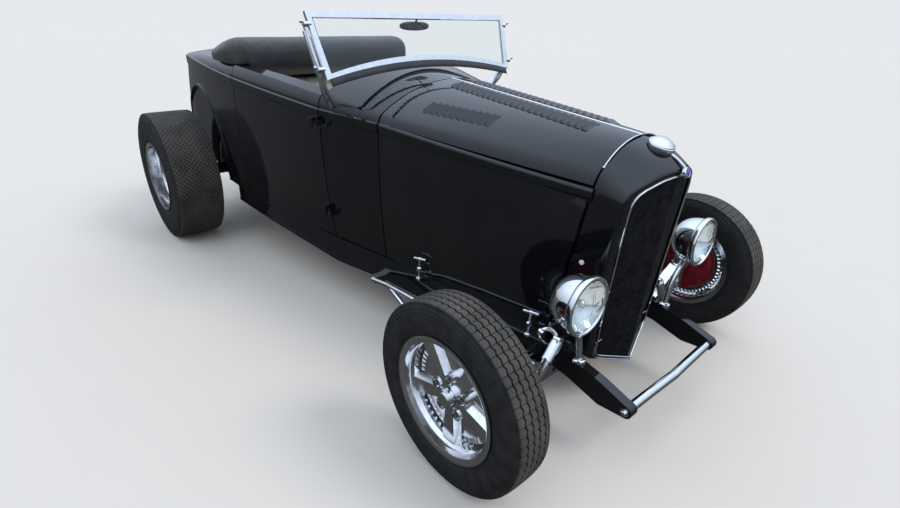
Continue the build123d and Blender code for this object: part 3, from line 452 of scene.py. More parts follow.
def frontTyre(side):
    # walls, a ribbed crown and beads, with cuts and a zigzag for each pitch round the wheel
    half, rim, radius = tyres["frontHalf"], tyres["frontRim"], tyres["frontRadius"]
    wall = sidewall(half, rim, radius - tyres["frontWallDrop"])
    lip, foot, depth = tyres["grooveLip"], tyres["grooveFoot"], tyres["grooveDepth"]
    grooves = tyres["grooves"]
    ribHalf = (grooves[1] - grooves[0]) / 2
    # a row for each point: across, height against the crown, share of a cut and of the zigzag
    rows = [(-x, drop, share, 0) for (x, drop), share in zip(tyres["shoulder"], (0.6, 1))]
    for centre in grooves:
        rows += [(centre - lip, 0, 1, 1), (centre - foot, -depth, 0, 1),
                 (centre + foot, -depth, 0, 1), (centre + lip, 0, 1, 1)]
        if centre < grooves[-1]:
            rows.append((centre + ribHalf, 0, 1, 0.6))
    rows += [(x, drop, share, 0) for (x, drop), share in zip(tyres["shoulder"][::-1], (1, 0.6))]
    rows = np.array(rows, float)
    tread, lowered, shifted = rows[:, :2], rows[:, 2], rows[:, 3]
    tread[:, 1] += radius - tyres["crown"] * (tread[:, 0] / tyres["shoulder"][0][0]) ** 2
    profile = np.concatenate((wall * (-1, 1), tread, wall[::-1], beads(half, rim)))
    still = np.zeros(len(wall))
    lowered = np.concatenate((still, lowered, still, (0, 0)))
    shifted = np.concatenate((still, shifted, still, (0, 0)))
    # one pitch of the tread: the zigzag swings over and back, with a narrow cut at its middle
    phase = np.array((0, 0.23, 0.46, 0.475, 0.525, 0.54, 0.77))
    cut = np.array((0, 0, 0, 1, 1, 0, 0))
    swing = np.array((-1, -0.1, 0.9, 0.95, 0.95, 0.9, -0.1))
    pitches = tyres["frontPitches"]
    angles = ((np.arange(pitches)[:, None] + phase) / pitches * 2 * np.pi).ravel()
    pull, shift = np.tile(cut, pitches) * tyres["sipeDepth"], np.tile(swing, pitches) * tyres["zigzag"]
    centre = (side * tyres["frontX"], 0, radius)
    return [tyreRing(profile, lowered, shifted, angles, pull, shift, centre, side)]


def rearTyre(side):
    # a wide flat crown, sunk wherever one of two crossing sets of diagonals passes
    half, rim, radius = tyres["rearHalf"], tyres["rearRim"], tyres["rearRadius"]
    around, pitch = tyres["diamondRows"], tyres["diamondPitch"]
    wall = sidewall(half, rim, radius - tyres["rearWallDrop"])
    cells = np.arange(-tyres["diamondHalf"], tyres["diamondHalf"] + 1)
    across = cells * tyres["diamondCell"]
    tread = np.stack((across, radius - tyres["crown"] * (across / across[-1]) ** 4), 1)
    profile = np.concatenate((wall * (-1, 1), tread, wall[::-1], beads(half, rim)))
    i, j = np.meshgrid(np.arange(around), cells, indexing="ij")
    cutHere = (((i + j) % pitch == 0) | ((i - j) % pitch == 0)) * tyres["diamondDepth"]
    lowered = np.zeros((around, len(profile)))
    lowered[:, len(wall):len(wall) + len(tread)] = cutHere
    angles = np.linspace(0, 2 * np.pi, around, endpoint=False)[:, None]
    height = profile[None, :, 1] - lowered
    grid = np.stack((side * (tyres["rearX"] + profile[None, :, 0] + 0 * height),
                     tyres["wheelbase"] + height * np.cos(angles), radius + height * np.sin(angles)), 2)
    return [surface(grid, closeRows=True, closeColumns=True)]


def addScuffAndLight(tread, aft, radius, below, over):
    # how much each point takes the paler colour, partly scuffing and partly painted light, from 0 to 1, by
    # its height against the tread's top
    places = np.empty(len(tread.data.vertices) * 3)
    tread.data.vertices.foreach_get("co", places)
    places = places.reshape(-1, 3) - toFrame((0, aft, radius))
    height = np.hypot(places[:, 1], places[:, 2]) * 1000
    scuffAndLight = tread.data.attributes.new("scuffAndLight", "FLOAT", "POINT")
    scuffAndLight.data.foreach_set("value", np.clip((height - radius + below) / over, 0, 1).astype(np.float32))


sides = (("right", -1), ("left", 1))
for name, side in sides:
    tread = addPiece(f"tyre_front_{name}_tread", frontTyre(side), finishes["tyre_rubber"],
                     f"wheel_front_{name}", (f"tyre_front_{name}",), sharp=35)
    addScuffAndLight(tread, 0, tyres["frontRadius"], *tyres["frontScuffAndLight"])
    tread = addPiece(f"tyre_rear_{name}_tread", rearTyre(side), finishes["tyre_rubber"],
                     f"wheel_rear_{name}", (f"tyre_rear_{name}",), sharp=35)
    addScuffAndLight(tread, tyres["wheelbase"], tyres["rearRadius"], *tyres["rearScuffAndLight"])
print("tyres made")

# Hood: smooth tops with raised louvres, belt moulding and latches on each side

hood = {"front": -44, "rear": 890, "frontTop": -50, "frontFall": 0.1192, "fallFrom": 985, "rodClear": 5.5,
        "topRear": 894, "thickness": 10, "topStart": 0.02, "topEnd": 1.64, "smoothings": 10,
        "bend": (0.68, 0.56),
        # station, belt x and z, shoulder x and z, crown z
        "sections": ((-60, 228, 850, 200, 936, 1021), (400, 332, 893, 306, 968, 1064.9),
                     (894, 409, 937, 389, 994, 1112)),
        # first and last station, first and last x, width, count
        "louvreRows": ((95, 765, 66, 66, 84, 23), (415, 700, 222, 278, 78, 10)),
        "louvreRun": 22, "louvreRise": 10, "louvreSink": 0.6, "louvreFoot": 2.5,
        # outward and upward of the belt line
        "beltSection": ((-6, -20), (0, -22), (5, -17), (6, -10), (6, 10), (5, 17), (-1, 22), (-8, 22)),
        # x, station, tilt, z
        "latches": ((340, 646, -24, 400), (300, 62, -14, 392)),
        "latchFoot": (55, 4, -70), "latchHead": (52, 0, 22), "latchNutAt": 0.45}


def hoodSizes(station):
    # each size of the hood's section as the parabola through its three table rows
    table = np.array(hood["sections"])
    return [np.polyval(np.polyfit(table[:, 0], table[:, k], 2), station) for k in range(1, 6)]


def arcThrough(a, b, c, share):
    # the point at a share of the way along the circle's arc from a over b to c
    (ax, az), (bx, bz), (cx, cz) = a, b, c
    twice = 2 * (ax * (bz - cz) + bx * (cz - az) + cx * (az - bz))
    squares = ax ** 2 + az ** 2, bx ** 2 + bz ** 2, cx ** 2 + cz ** 2
    x = (squares[0] * (bz - cz) + squares[1] * (cz - az) + squares[2] * (az - bz)) / twice
    z = (squares[0] * (cx - bx) + squares[1] * (ax - cx) + squares[2] * (bx - ax)) / twice
    first, last = np.arctan2(az - z, ax - x), np.arctan2(cz - z, cx - x)
    angle = first + (last - first) * share
    radius = np.hypot(ax - x, az - z)
    return x + radius * np.cos(angle), z + radius * np.sin(angle)


def hoodOutline(station, across):
    # across runs 0 to 1 over the crown's arc and 1 to 2 down the shoulder's arc to the belt
    beltX, beltZ, shoulderX, shoulderZ, top = hoodSizes(station)
    crownX, crownZ = arcThrough((shoulderX * -1, shoulderZ), (0 * top, top), (shoulderX, shoulderZ),
                                0.5 + np.clip(across, 0, 1) / 2)
    bendX = shoulderX + (beltX - shoulderX) * hood["bend"][0]
    bendZ = beltZ + (shoulderZ - beltZ) * hood["bend"][1]
    sideX, sideZ = arcThrough((shoulderX, shoulderZ), (bendX, bendZ), (beltX, beltZ),
                              np.clip(across - 1, 0, 1))
    return np.where(across < 1, crownX, sideX), np.where(across < 1, crownZ, sideZ)


def hoodTop(side):
    # outer skin from the hinge rod to the belt, its front edge on the shell's leaning plane
    crown, shoulder = np.linspace(hood["topStart"], 1, 26), np.linspace(1, hood["topEnd"], 15)
    across = np.concatenate((crown, shoulder[1:]))[None, :]
    along = np.linspace(0, 1, 60)[:, None]
    station = hood["frontTop"] + (hood["topRear"] - hood["frontTop"]) * along + 0 * across
    for _ in range(3):
        z = hoodOutline(station, across)[1]
        front = hood["frontTop"] - hood["frontFall"] * (z - hood["fallFrom"])
        station = front + (hood["topRear"] - front) * along
    x, z = hoodOutline(station, across)
    for _ in range(hood["smoothings"]):
        z[:, 1:-1] = (z[:, :-2] + 2 * z[:, 1:-1] + z[:, 2:]) / 4
        x[:, 1:-1] = (x[:, :-2] + 2 * x[:, 1:-1] + x[:, 2:]) / 4
    x = np.maximum(x, hood["rodClear"])
    outer = np.stack((x, station, z), 2)
    normal = unit(np.cross(np.gradient(outer, axis=1), np.gradient(outer, axis=0)))
    inner = outer + normal * hood["thickness"] * np.where(normal[..., 2:] > 0, -1, 1)
    inner[..., 0] = np.maximum(inner[..., 0], hood["rodClear"])
    loop = np.concatenate((outer, inner[:, ::-1]), 1) * (side, 1, 1)
    return surface(loop, closeColumns=True, caps=True)


def crownHeight(x, station):
    # the crown's arc over the shoulders at one station
    shoulderX, shoulderZ, top = hoodSizes(station)[2:]
    drop = top - shoulderZ
    arc = (shoulderX ** 2 + drop ** 2) / (2 * drop)
    return top - arc + np.sqrt(arc ** 2 - x ** 2)


def louvres(side):
    # a pressed hump over each slot: it climbs to the rear, its ends rounded, and drops at its mouth
    a, b = np.meshgrid(np.linspace(-1, 1, 15), np.array((0, 0.2, 0.45, 0.7, 0.9, 1.0)), indexing="ij")
    swell = hood["louvreRise"] * b ** 1.2 * np.sqrt(np.maximum(1 - np.abs(a) ** 5, 0))
    parts = []
    for first, last, firstX, lastX, across, count in hood["louvreRows"]:
        for share in np.linspace(0, 1, count):
            station, x = first + (last - first) * share, firstX + (lastX - firstX) * share
            slope = (crownHeight(x + 20, station) - crownHeight(x - 20, station)) / 40
            climb = (crownHeight(x, station + 20) - crownHeight(x, station - 20)) / 40
            out, back = unit(np.array((1, 0, slope))), unit(np.array((0, 1, climb)))
            up = np.cross(out, back)
            spot = np.array((x, station, crownHeight(x, station)))
            base = spot + out * (a * across / 2)[..., None] + back * (b * hood["louvreRun"])[..., None]
            raised = base + up * (swell - hood["louvreSink"])[..., None]
            sunk = base - up * hood["louvreFoot"]
            loop = np.concatenate((raised, sunk[:, ::-1]), 1) * (side, 1, 1)
            parts.append(surface(loop, closeColumns=True, caps=True))
    return parts


def beltStrip(side):
    # the band's corners carried from the nose to the cowl, its edges chamfered
    aft = np.linspace(hood["front"], hood["rear"], 30)
    beltX, beltZ = hoodSizes(aft)[:2]
    rows = []
    for out, up in hood["beltSection"]:
        rows.append(np.stack((side * (beltX + out), aft, beltZ + up), 1))
    return [surface(np.stack(rows, 1), closeColumns=True, caps=True)]


def latch(side, x, aft, tilt, z):
    # a T handle on a threaded rod, with its bracket on the rail
    foot, head = (np.array((x, aft, z)) + hood[end] for end in ("latchFoot", "latchHead"))
    foot, head = foot * (side, 1, 1), head * (side, 1, 1)
    reach = np.array((side * 6.0, 26, tilt * 0.1))
    rod = tube(np.linspace(foot, head, 4), 5, 12)
    handle = tube(np.linspace(head - reach, head + reach, 4), (5, 6, 6, 5), 12)
    nut = [(-3, 0), (-3, 11), (9, 11), (12, 8), (12, 0)]
    socket = [(-5, 0), (-5, 13), (4, 13), (7, 9), (7, 0)]
    return [rod, handle, ball(head - reach, 6), ball(head + reach, 6), ball(head, 9),
            revolved(nut, foot + (head - foot) * hood["latchNutAt"], head - foot, 6),
            revolved(socket, foot, head - foot, 20)]


for name, side in sides:
    addPiece(f"hood_top_{name}_panel", [hoodTop(side)] + louvres(side), finishes["black_paint"],
             f"hood_top_{name}", (f"hood_top_{name}",), sharp=38)
    addPiece(f"hood_belt_{name}", beltStrip(side), finishes["black_paint"], "chassis",
             slot="black_paint", sharp=50)
    parts = [part for row in hood["latches"] for part in latch(side, *row)]
    addPiece(f"hood_latches_{name}", parts, finishes["chrome"], "chassis", slot="chrome", sharp=40)
print("hood made")

# Nose: V-shaped shell and bars, trim round the opening, ridge line, badge, cap and bead on the hood's seam;
# the ridge line, the low lip line and the bead's chrome are painted highlights, the badge's blue a painted
# glint

nose = {"lowZ": 150, "lowEdge": -151, "lowFall": 0.35, "highZ": 1040, "highEdge": -213, "highFall": 0.213,
        "lean": 6.8, "planeAft": 7.83, "planeZ": 500, "proud": 9, "trimRadius": 3.6, "trimGap": 12,
        "lipGlintRadius": 2.6, "footBelow": 300, "round": 13, "wall": 7, "crownSwell": 9, "sideSwell": 2,
        "crownHalf": 215, "crownFrom": 300, "swellFrom": 200, "middleUp": 90, "middleZ": 560,
        "bars": 43, "barPitch": 9, "barWidth": 3.4, "barDepth": 13,
        "ridgeGlint": [(0, -168, 975), (0, -186, 966), (0, -205, 953), (0, -219, 941), (0, -225, 926)],
        "badge": (0, -227, 930), "badgeFacing": (0, -0.93, 0.36),
        "seamHalf": 198, "seamAft": -54.5, "seamSwing": 0.35, "button": (246, -48, 621),
        "capCentre": (0, -127, 998), "capTilt": 20}


def noseAft(x, z, proud):
    # the V's edge and its fall to the sides, both in proportion to the height
    share = (z - nose["lowZ"]) / (nose["highZ"] - nose["lowZ"])
    edge = nose["lowEdge"] + share * (nose["highEdge"] - nose["lowEdge"])
    fall = nose["lowFall"] + share * (nose["highFall"] - nose["lowFall"])
    return edge - proud + np.abs(x) * fall


def onPlane(across, up, forward):
    # a place on the leaning plane at the hood's front edge, moved forward square to it
    lean = math.radians(nose["lean"])
    aft = nose["planeAft"] - up * math.sin(lean) - forward * math.cos(lean)
    return np.stack((across, aft, nose["planeZ"] + up * math.cos(lean) - forward * math.sin(lean)), -1)


def onNose(across, up, proud):
    # the same place carried forward until it meets the face of the V
    lean = math.radians(nose["lean"])
    forward = np.zeros_like(across)
    for _ in range(4):
        place = onPlane(across, up, forward)
        forward = forward + (place[..., 1] - noseAft(across, place[..., 2], proud)) / math.cos(lean)
    return onPlane(across, up, forward)


def joined(*spans):
    # the right half of a loop, from the bottom's middle to the crown's: each span has its own count
    half = np.concatenate([curveThrough(points, count) for points, count in spans])
    return np.concatenate((half, half[::-1][1:-1] * ((-1,) + (1,) * (half.shape[1] - 1))))


def openingFlat(outset):
    # the opening's outline: two straight bottom edges, bowed sides, rounded corners and crown
    loop = joined(([(0, -296), (70, -275), (142, -253)], 12),
                  ([(148, -251), (163, -243), (172, -228), (175, -205)], 8),
                  ([(176, -196), (186, -40), (190, 110), (194, 240), (195, 318)], 26),
                  ([(195, 326), (191, 360), (176, 386), (148, 404)], 12),
                  ([(140, 407), (72, 430), (0, 442)], 14))
    return loop + outset * unit(loop - (0, nose["middleUp"]))


def openingLoop(outset, proud):
    # the opening's outline on the face of the V
    loop = openingFlat(outset)
    return onNose(loop[:, 0], loop[:, 1], proud)


def cornerLoop():
    # where the face of the V turns into the shell's side
    return joined(([(0, -308), (90, -287), (176, -264)], 12),
                  ([(184, -261), (196, -250), (202, -235), (205, -212)], 8),
                  ([(206, -204), (222, -60), (231, 110), (230, 250), (226, 330)], 26),
                  ([(226, 338), (222, 372), (207, 398), (178, 416)], 12),
                  ([(170, 419), (90, 447), (0, 463)], 14))


def rearLoop():
    # where the shell meets the hood, and lower down where it ends in front of the axle. Columns:
    # across, up and forward
    return joined(([(0, -310, 97), (95, -288, 97), (186, -264, 97)], 12),
                  ([(196, -258, 97), (212, -240, 97), (236, -212, 90), (262, -190, 44)], 8),
                  ([(288, -162, 5), (274, -40, 5), (257, 110, 5), (238, 270, 5), (229, 345, 5)], 26),
                  ([(228.5, 353, 5), (222, 385, 5), (212, 418, 5), (199, 440, 5)], 12),
                  ([(190, 447, 5), (100, 503, 5), (0, 523, 5)], 14))


def grilleShell():
    # rows from the opening's lip over the V's face, round its corner and along the side to the hood
    opening, corner, rear = openingLoop(0, nose["proud"] - 1), cornerLoop(), rearLoop()
    edge = onNose(corner[:, 0], corner[:, 1], nose["proud"])
    back = onPlane(*rear.T)
    crown = np.clip(1 - (rear[:, 0] / nose["crownHalf"]) ** 2, 0, 1) * (rear[:, 1] > nose["crownFrom"])
    swell = nose["crownSwell"] * crown + nose["sideSwell"] * (rear[:, 1] > nose["swellFrom"])
    middle = (edge + back) / 2 + np.stack((0 * swell, 0 * swell, swell), 1)
    inward, aftward = opening - edge, middle - edge
    near = edge + inward * np.minimum(0.8, nose["round"] / np.linalg.norm(inward, axis=1))[:, None]
    far = edge + aftward * np.minimum(0.6, nose["round"] / np.linalg.norm(aftward, axis=1))[:, None]
    rows = [openingLoop(-1, -nose["barDepth"]), openingLoop(-1, nose["proud"] - 3), opening]
    rows += [near * (1 - t) ** 2 + edge * 2 * t * (1 - t) + far * t ** 2 for t in np.linspace(0, 1, 8)]
    span = np.stack((far, middle, back))
    for t in np.linspace(0, 1, 13)[1:]:
        rows.append(span[0] * (1 - t) * (1 - 2 * t) + span[1] * 4 * t * (1 - t)
                    + span[2] * t * (2 * t - 1))
    # the inner wall comes back from the rear edge, drawn in towards the middle
    draw = -nose["wall"] * unit((back - (0, 0, nose["middleZ"])) * (1, 0, 1))
    rows += [back + draw, middle + draw, far + draw * 1.2 + (0, 6, 0), near + (0, 9, 0)]
    return [surface(np.stack(rows), closeRows=True, closeColumns=True)]


def grilleBars():
    # an upright bar wherever the opening's outline is crossed twice, its front edge rounded
    outline = openingFlat(0)
    following = np.roll(outline, -1, 0)
    half, depth = nose["barWidth"] / 2, nose["barDepth"]
    section = np.array([(-half, depth), (-half, 2), (-half * 0.6, 0.4), (0, 0), (half * 0.6, 0.4),
                        (half, 2), (half, depth)])
    parts = []
    for x in (np.arange(nose["bars"]) - (nose["bars"] - 1) / 2) * nose["barPitch"]:
        crossed = (outline[:, 0] - x) * (following[:, 0] - x) <= 0
        share = (x - outline[crossed, 0]) / (following[crossed, 0] - outline[crossed, 0] + 1e-9)
        ends = outline[crossed, 1] + share * (following[crossed, 1] - outline[crossed, 1])
        up = np.linspace(ends.min(), ends.max(), 20)
        path = onNose(np.full(20, x), up, 0)
        grid = path[:, None] + np.stack((section[:, 0], section[:, 1], 0 * section[:, 0]), 1)
        parts.append(surface(grid, closeColumns=True, caps=True))
    return parts


addPiece("grille_shell_panel", grilleShell(), finishes["black_paint"], "chassis",
         ("grille_shell",), sharp=50)
addPiece("grille_bars", grilleBars(), finishes["grille_black"], "chassis",
         ("grille_insert",), sharp=50)
trim = [tube(openingLoop(0, nose["proud"] + 1), nose["trimRadius"], 10, closed=True)]
# a second chrome line outside the trim, low on the shell: a painted highlight on the black lip's lower edge
lowEdge = openingLoop(nose["trimGap"], nose["proud"] + 1)
trim.append(tube(lowEdge[lowEdge[:, 2] < nose["footBelow"]], nose["lipGlintRadius"], 10))


def addChrome(name, parts, **settings):
    # bright trim that stands for no construction node
    addPiece(name, parts, finishes["chrome"], "chassis", slot="chrome", **settings)


addChrome("grille_trim", trim)
# a chrome line down the shell's ridge from the cap to the badge: a painted highlight for the sun's glint on
# the ridge
addChrome("nose_ridge_glint", [tube(curveThrough(nose["ridgeGlint"], 24), 5, 12, flat=0.8)])
badgeRim = [(-6, 0), (-6, 17), (3, 17), (5, 15), (5, 13), (2, 12), (2, 0)]
badgeFace = [(1, 0), (1, 12.5), (4, 12), (6, 8), (7, 0)]
addChrome("nose_badge_rim", [revolved(badgeRim, nose["badge"], nose["badgeFacing"], 32)])
# the badge's face is blue as a painted glint
addPiece("nose_badge_painted_glint", [revolved(badgeFace, nose["badge"], nose["badgeFacing"], 32)],
         finishes["badgeGlintBlue"], "chassis", slot="chrome")
# the bead on the shell's rolled rear edge is chrome as a painted highlight: the sun's glint along a black
# bead
seam = np.linspace(-nose["seamHalf"], nose["seamHalf"], 61)
seamAft = nose["seamAft"] + nose["seamSwing"] * (np.abs(seam) / 10) ** 0.9
beadPath = np.stack((seam, seamAft, crownHeight(seam, -56) + 1.5), 1)
addChrome("seam_bead_glint", [tube(beadPath, 2.4, 8), ball(beadPath[0], 5), ball(beadPath[-1], 5)])


def filledCap():
    # a low dome on a stepped, notched skirt
    lean = math.radians(nose["capTilt"])
    axis = (0, -math.sin(lean), math.cos(lean))
    dome = [(27 - 13 * (r / 37) ** 2.4, r) for r in (0, 6, 12, 18, 24, 30, 34, 37)]
    profile = dome + [(12, 41), (8, 42), (7, 45), (4, 46), (-1, 46), (-3, 43), (-12, 41), (-12, 0)]
    return [revolved(profile, nose["capCentre"], axis, 72)]


addPiece("radiator_cap_dome", filledCap(), finishes["chrome"], "chassis", ("radiator_cap",), sharp=50)
buttonProfile = [(-8, 0), (-8, 9), (3, 9), (5, 7), (5, 0)]
buttons = [revolved(buttonProfile, np.array(nose["button"]) * (side, 1, 1), (side, -0.1, 0), 24)
           for _, side in sides]
addPiece("side_button", buttons, finishes["cream_leather"], "chassis", slot="cream_leather")
print("nose made")

# Headlamps: chrome bowl and bezel, reflector inside, domed glass with upright flutes

lamp = {"x": 394, "aft": -188, "z": 565, "radius": 102, "glass": 87, "dome": 16, "flutes": 26,
        "fluteDepth": 0.9, "bowlDepth": 98, "bowlRadius": 93, "bulbAft": 34, "bulbRadius": 13,
        "stand": [(302, -126, 290), (310, -126, 340), (330, -127, 400), (362, -128, 440),
                  (388, -130, 470), (394, -132, 492)]}


def lampBowl(side):
    # reflector, bezel and bowl as one profile round the lamp's axis, on a curved stand
    spot = (side * lamp["x"], lamp["aft"], lamp["z"])
    r = lamp["radius"]
    t = np.linspace(0, np.pi / 2, 18)
    bowl = np.stack((22 + lamp["bowlDepth"] * np.sin(t), lamp["bowlRadius"] * np.cos(t) ** 0.72), 1)
    inside = np.linspace(0, 1, 10)
    reflector = np.stack((58 - 52 * inside ** 2, 84 * inside), 1)
    reflector[0, 1] = 0
    bezel = [(6, 86), (-2, 89), (-5, 92), (-4, r - 3), (0, r), (12, r), (16, r - 3), (18, 96), (20, 95)]
    stand = curveThrough(lamp["stand"], 30) * (side, 1, 1)
    cup = [(-12, 0), (-12, 26), (-4, 24), (6, 17), (14, 15), (14, 0)]
    foot = [(-6, 0), (-6, 22), (4, 22), (8, 16), (8, 0)]
    return [revolved(np.concatenate((reflector, bezel, bowl)), spot, (0, 1, 0), 72),
            tube(stand, np.linspace(13, 16, 30), 16, flat=0.75),
            revolved(cup, stand[-1], (0, 0, 1), 24),
            revolved(foot, stand[0], (0, 0, 1), 24)]


def lampLens(side):
    # a shallow dome in front of a back face whose depth ripples across the glass
    t = np.linspace(0, 2 * np.pi, 96, endpoint=False)[:, None]
    radius = lamp["glass"] * np.sin(np.linspace(0, np.pi / 2, 14))[None, :]
    x, z = radius * np.cos(t), radius * np.sin(t)
    front = -lamp["dome"] * (1 - (radius / lamp["glass"]) ** 2) + 0 * t
    flutes = np.cos(x / lamp["glass"] * lamp["flutes"] * 2) * (radius < lamp["glass"] - 1)
    ripple = lamp["fluteDepth"] * flutes
    parts = []
    for depth in (front - 1, front + 4 + ripple):
        parts.append(np.stack((side * lamp["x"] + x, lamp["aft"] + depth, lamp["z"] + z), 2))
    grid = np.concatenate((parts[0], parts[1][:, ::-1]), 1)
    return [surface(grid, closeRows=True)]


for name, side in sides:
    addPiece(f"headlamp_bowl_{name}", lampBowl(side), finishes["chrome"], "chassis",
             (f"headlamp_{name}",), sharp=40)
    bulbSpot = (side * lamp["x"], lamp["aft"] + lamp["bulbAft"], lamp["z"])
    addPiece(f"headlamp_bulb_{name}", [ball(bulbSpot, lamp["bulbRadius"], 1.3, (0, 1, 0))],
             finishes["silver_tube"], "chassis", slot="silver_tube")
addPiece("headlamp_glass", lampLens(-1) + lampLens(1), finishes["clear_glass"], "chassis",
         ("lamp_lenses",), sharp=50)
print("headlamps made")

# Windshield: glass, rubber under the frame, swing arm clamps and the mirror

screen = {"foot": (1065, 1117), "head": (1158, 1372), "slant": 271.4, "arch": 62,
          "glassHalf": 515, "glassLow": 24, "glassHigh": 247.5, "archHalf": 516, "sealHalf": 522,
          "widening": 0.052, "widenFrom": 0.1, "sealArchHalf": 540, "clamps": ((0.16, 552), (0.82, 566)),
          # up along the glass and forward of it
          "seal": ((4, -7), (-10, -11), (-24, -12), (-30, -8), (-28, -2), (-8, 2), (4, 4)),
          "post": [(484, 1160, 1006), (500, 1148, 1032), (530, 1118, 1080), (554, 1100, 1150),
                   (567, 1122, 1230), (573, 1148, 1316)],
          # share of the post's length and width there
          "postWidths": ((0, 0.12, 0.35, 0.6, 1), (15, 25, 19, 14, 11))}


def onScreen(x, share):
    # a place on the windshield's slanted plane by its share of the height
    aft, z = (low + (high - low) * share for low, high in zip(screen["foot"], screen["head"]))
    return np.stack(np.broadcast_arrays(x, aft, z), -1)


def glassPane():
    # its foot follows the frame's arch, and it widens upwards with the frame
    x = np.linspace(-screen["glassHalf"], screen["glassHalf"], 31)[:, None]
    up = np.linspace(0, 1, 7)[None, :]
    low = screen["glassLow"] + screen["arch"] * (1 - (x / screen["archHalf"]) ** 2)
    height = (low + (screen["glassHigh"] - low) * up) / screen["slant"]
    stretch = 1 + (height - screen["widenFrom"]) * screen["widening"]
    face = onScreen(x * stretch, height)
    loop = np.concatenate((face - (0, 2.2, 0), (face + (0, 2.2, 0))[:, ::-1]), 1)
    return [surface(loop, closeColumns=True, caps=True)]


def rubberSeal():
    # a flap under the bottom rail, deepest in the middle, that rests on the cowl
    x = np.linspace(-screen["sealHalf"], screen["sealHalf"], 61)
    arch = screen["arch"] * (1 - (x / screen["sealArchHalf"]) ** 2)
    rows = [onScreen(x, (arch + up) / screen["slant"]) + (0, forward, 0)
            for up, forward in screen["seal"]]
    return [surface(np.stack(rows, 1), closeColumns=True, caps=True)]


def posts():
    # a flat blade from its foot on the cowl up beside the frame, widest at the foot
    parts = []
    for _, side in sides:
        path = curveThrough(screen["post"], 34) * (side, 1, 1)
        width = np.interp(np.linspace(0, 1, 34), *screen["postWidths"])
        parts.append(tube(path, width, 18, flat=0.55))
    return parts


addPiece("windshield_rubber", rubberSeal(), finishes["black_vinyl"], "chassis",
         slot="black_vinyl", sharp=50)
addChrome("windshield_posts", posts(), sharp=50)
addPiece("windshield_pane", glassPane(), finishes["clear_glass"], "chassis", ("windshield_glass",))
clampProfile = [(-16, 0), (-16, 11), (14, 11), (17, 8), (17, 0)]
clamps = []
for _, side in sides:
    for share, out in screen["clamps"]:
        spot = onScreen(np.array(side * (out + 2.0)), share)
        lever = np.linspace(spot + (side * 8, -4, 4), spot + (side * 26, -6, 10), 4)
        clamps += [revolved(clampProfile, spot, (side, 0, 0), 20), tube(lever, (5, 4, 4, 5), 10),
                   ball(spot + (side * 27, -6, 10), 7)]
addChrome("windshield_clamps", clamps)
mirror = {"x": 24, "aft": 1203, "z": 1319, "half": 87, "height": 20, "glassHalf": 79, "glassHeight": 17,
          "glassAft": 1211, "squareness": 0.8,
          # depth and share of the full size there
          "shell": ((-11, -10, -6, 0, 5, 7), (0.2, 0.62, 0.9, 1.0, 0.99, 0.94)),
          "stem": [(24, 1196, 1328), (24, 1186, 1348), (24, 1164, 1360)]}


def squaredOval(t, half, height):
    # x and z of an oval whose sides are fuller than an ellipse's
    x = mirror["x"] + half * np.sign(np.cos(t)) * np.abs(np.cos(t)) ** mirror["squareness"]
    return x, mirror["z"] + height * np.sign(np.sin(t)) * np.abs(np.sin(t)) ** mirror["squareness"]


def mirrorParts():
    # an oval shell, widest at its middle, hung on a stem from the top rail
    t = np.linspace(0, 2 * np.pi, 48, endpoint=False)[:, None]
    depth, swell = (np.array(row)[None, :] for row in mirror["shell"])
    x, z = squaredOval(t, mirror["half"] * swell, mirror["height"] * swell)
    grid = np.stack((x, mirror["aft"] + depth + 0 * t, z), 2)
    stem = curveThrough(mirror["stem"], 12)
    return [surface(np.swapaxes(grid, 0, 1), closeColumns=True, caps=True), tube(stem, 5, 12)]


def mirrorGlass():
    # a flat oval with a slightly sunk rim and a back face
    t = np.linspace(0, 2 * np.pi, 48, endpoint=False)[:, None]
    share = np.array((0, 0.5, 1.0))[None, :]
    x, z = squaredOval(t, mirror["glassHalf"] * share, mirror["glassHeight"] * share)
    face = np.stack((x, mirror["glassAft"] - 1.5 * share + 0 * t, z), 2)
    return [surface(np.concatenate((face, (face - (0, 4, 0))[:, ::-1]), 1), closeRows=True)]


addPiece("mirror_shell", mirrorParts(), finishes["grille_black"], "chassis", ("mirror",), sharp=60)
addChrome("mirror_glass", mirrorGlass())
print("windshield made")

# Front end: lever shocks with bent arms, red backing plates and finned polished drums

frontEnd = {"plateX": 724, "ringX": 738, "fins": 54, "axleZ": 317,
            "shockTop": (345, -60, 357), "shockFoot": (440, -56, 231),
            "arm": [(350, -58, 352), (340, -40, 372), (342, -22, 381), (360, -8, 380), (366, 0, 364),
                    (340, 6, 326), (312, 10, 296)],
            "spreader": [(-280, -330, 204), (-140, -334, 204), (-24, -338, 204), (0, -339, 204),
                         (24, -338, 204), (140, -334, 204), (280, -330, 204)],
            "spreaderRadius": 17, "hornBolt": (319, -330, 204)}


def shockParts(side):
    # a telescoping sleeve between two eyes, with a bent arm over its top
    top, low = np.array(frontEnd["shockTop"]), np.array(frontEnd["shockFoot"])
    sleeve = [(0, 0), (0, 15), (4, 20), (10, 22), (70, 22), (74, 23), (80, 23), (82, 18), (156, 17),
              (160, 14), (160, 0)]
    eye = [(-13, 0), (-13, 14), (13, 14), (13, 0)]
    parts = [revolved(sleeve, top, low - top, 32), tube(curveThrough(frontEnd["arm"], 36), 8.5, 14),
             revolved([(-9, 0), (-9, 15), (9, 15), (9, 0)], (364, -2, 366), (0, 1, 0.2), 20),
             revolved(eye, low, (0, 1, 0), 24), revolved(eye, top, (0, 1, 0), 24)]
    return [(points * (side, 1, 1), faces) for points, faces in parts]


def backingPlate(side):
    # a pressed dish: a raised rim, a shallow ring and a hub boss
    profile = [(4, 34), (-3, 36), (-6, 52), (-1, 60), (-1, 92), (-5, 100), (-5, 118), (0, 126), (-4, 134),
               (2, 139), (4, 139)]
    centre = (side * frontEnd["plateX"], 0, frontEnd["axleZ"])
    return [revolved(profile, centre, (side, 0, 0), 72, closed=True)]


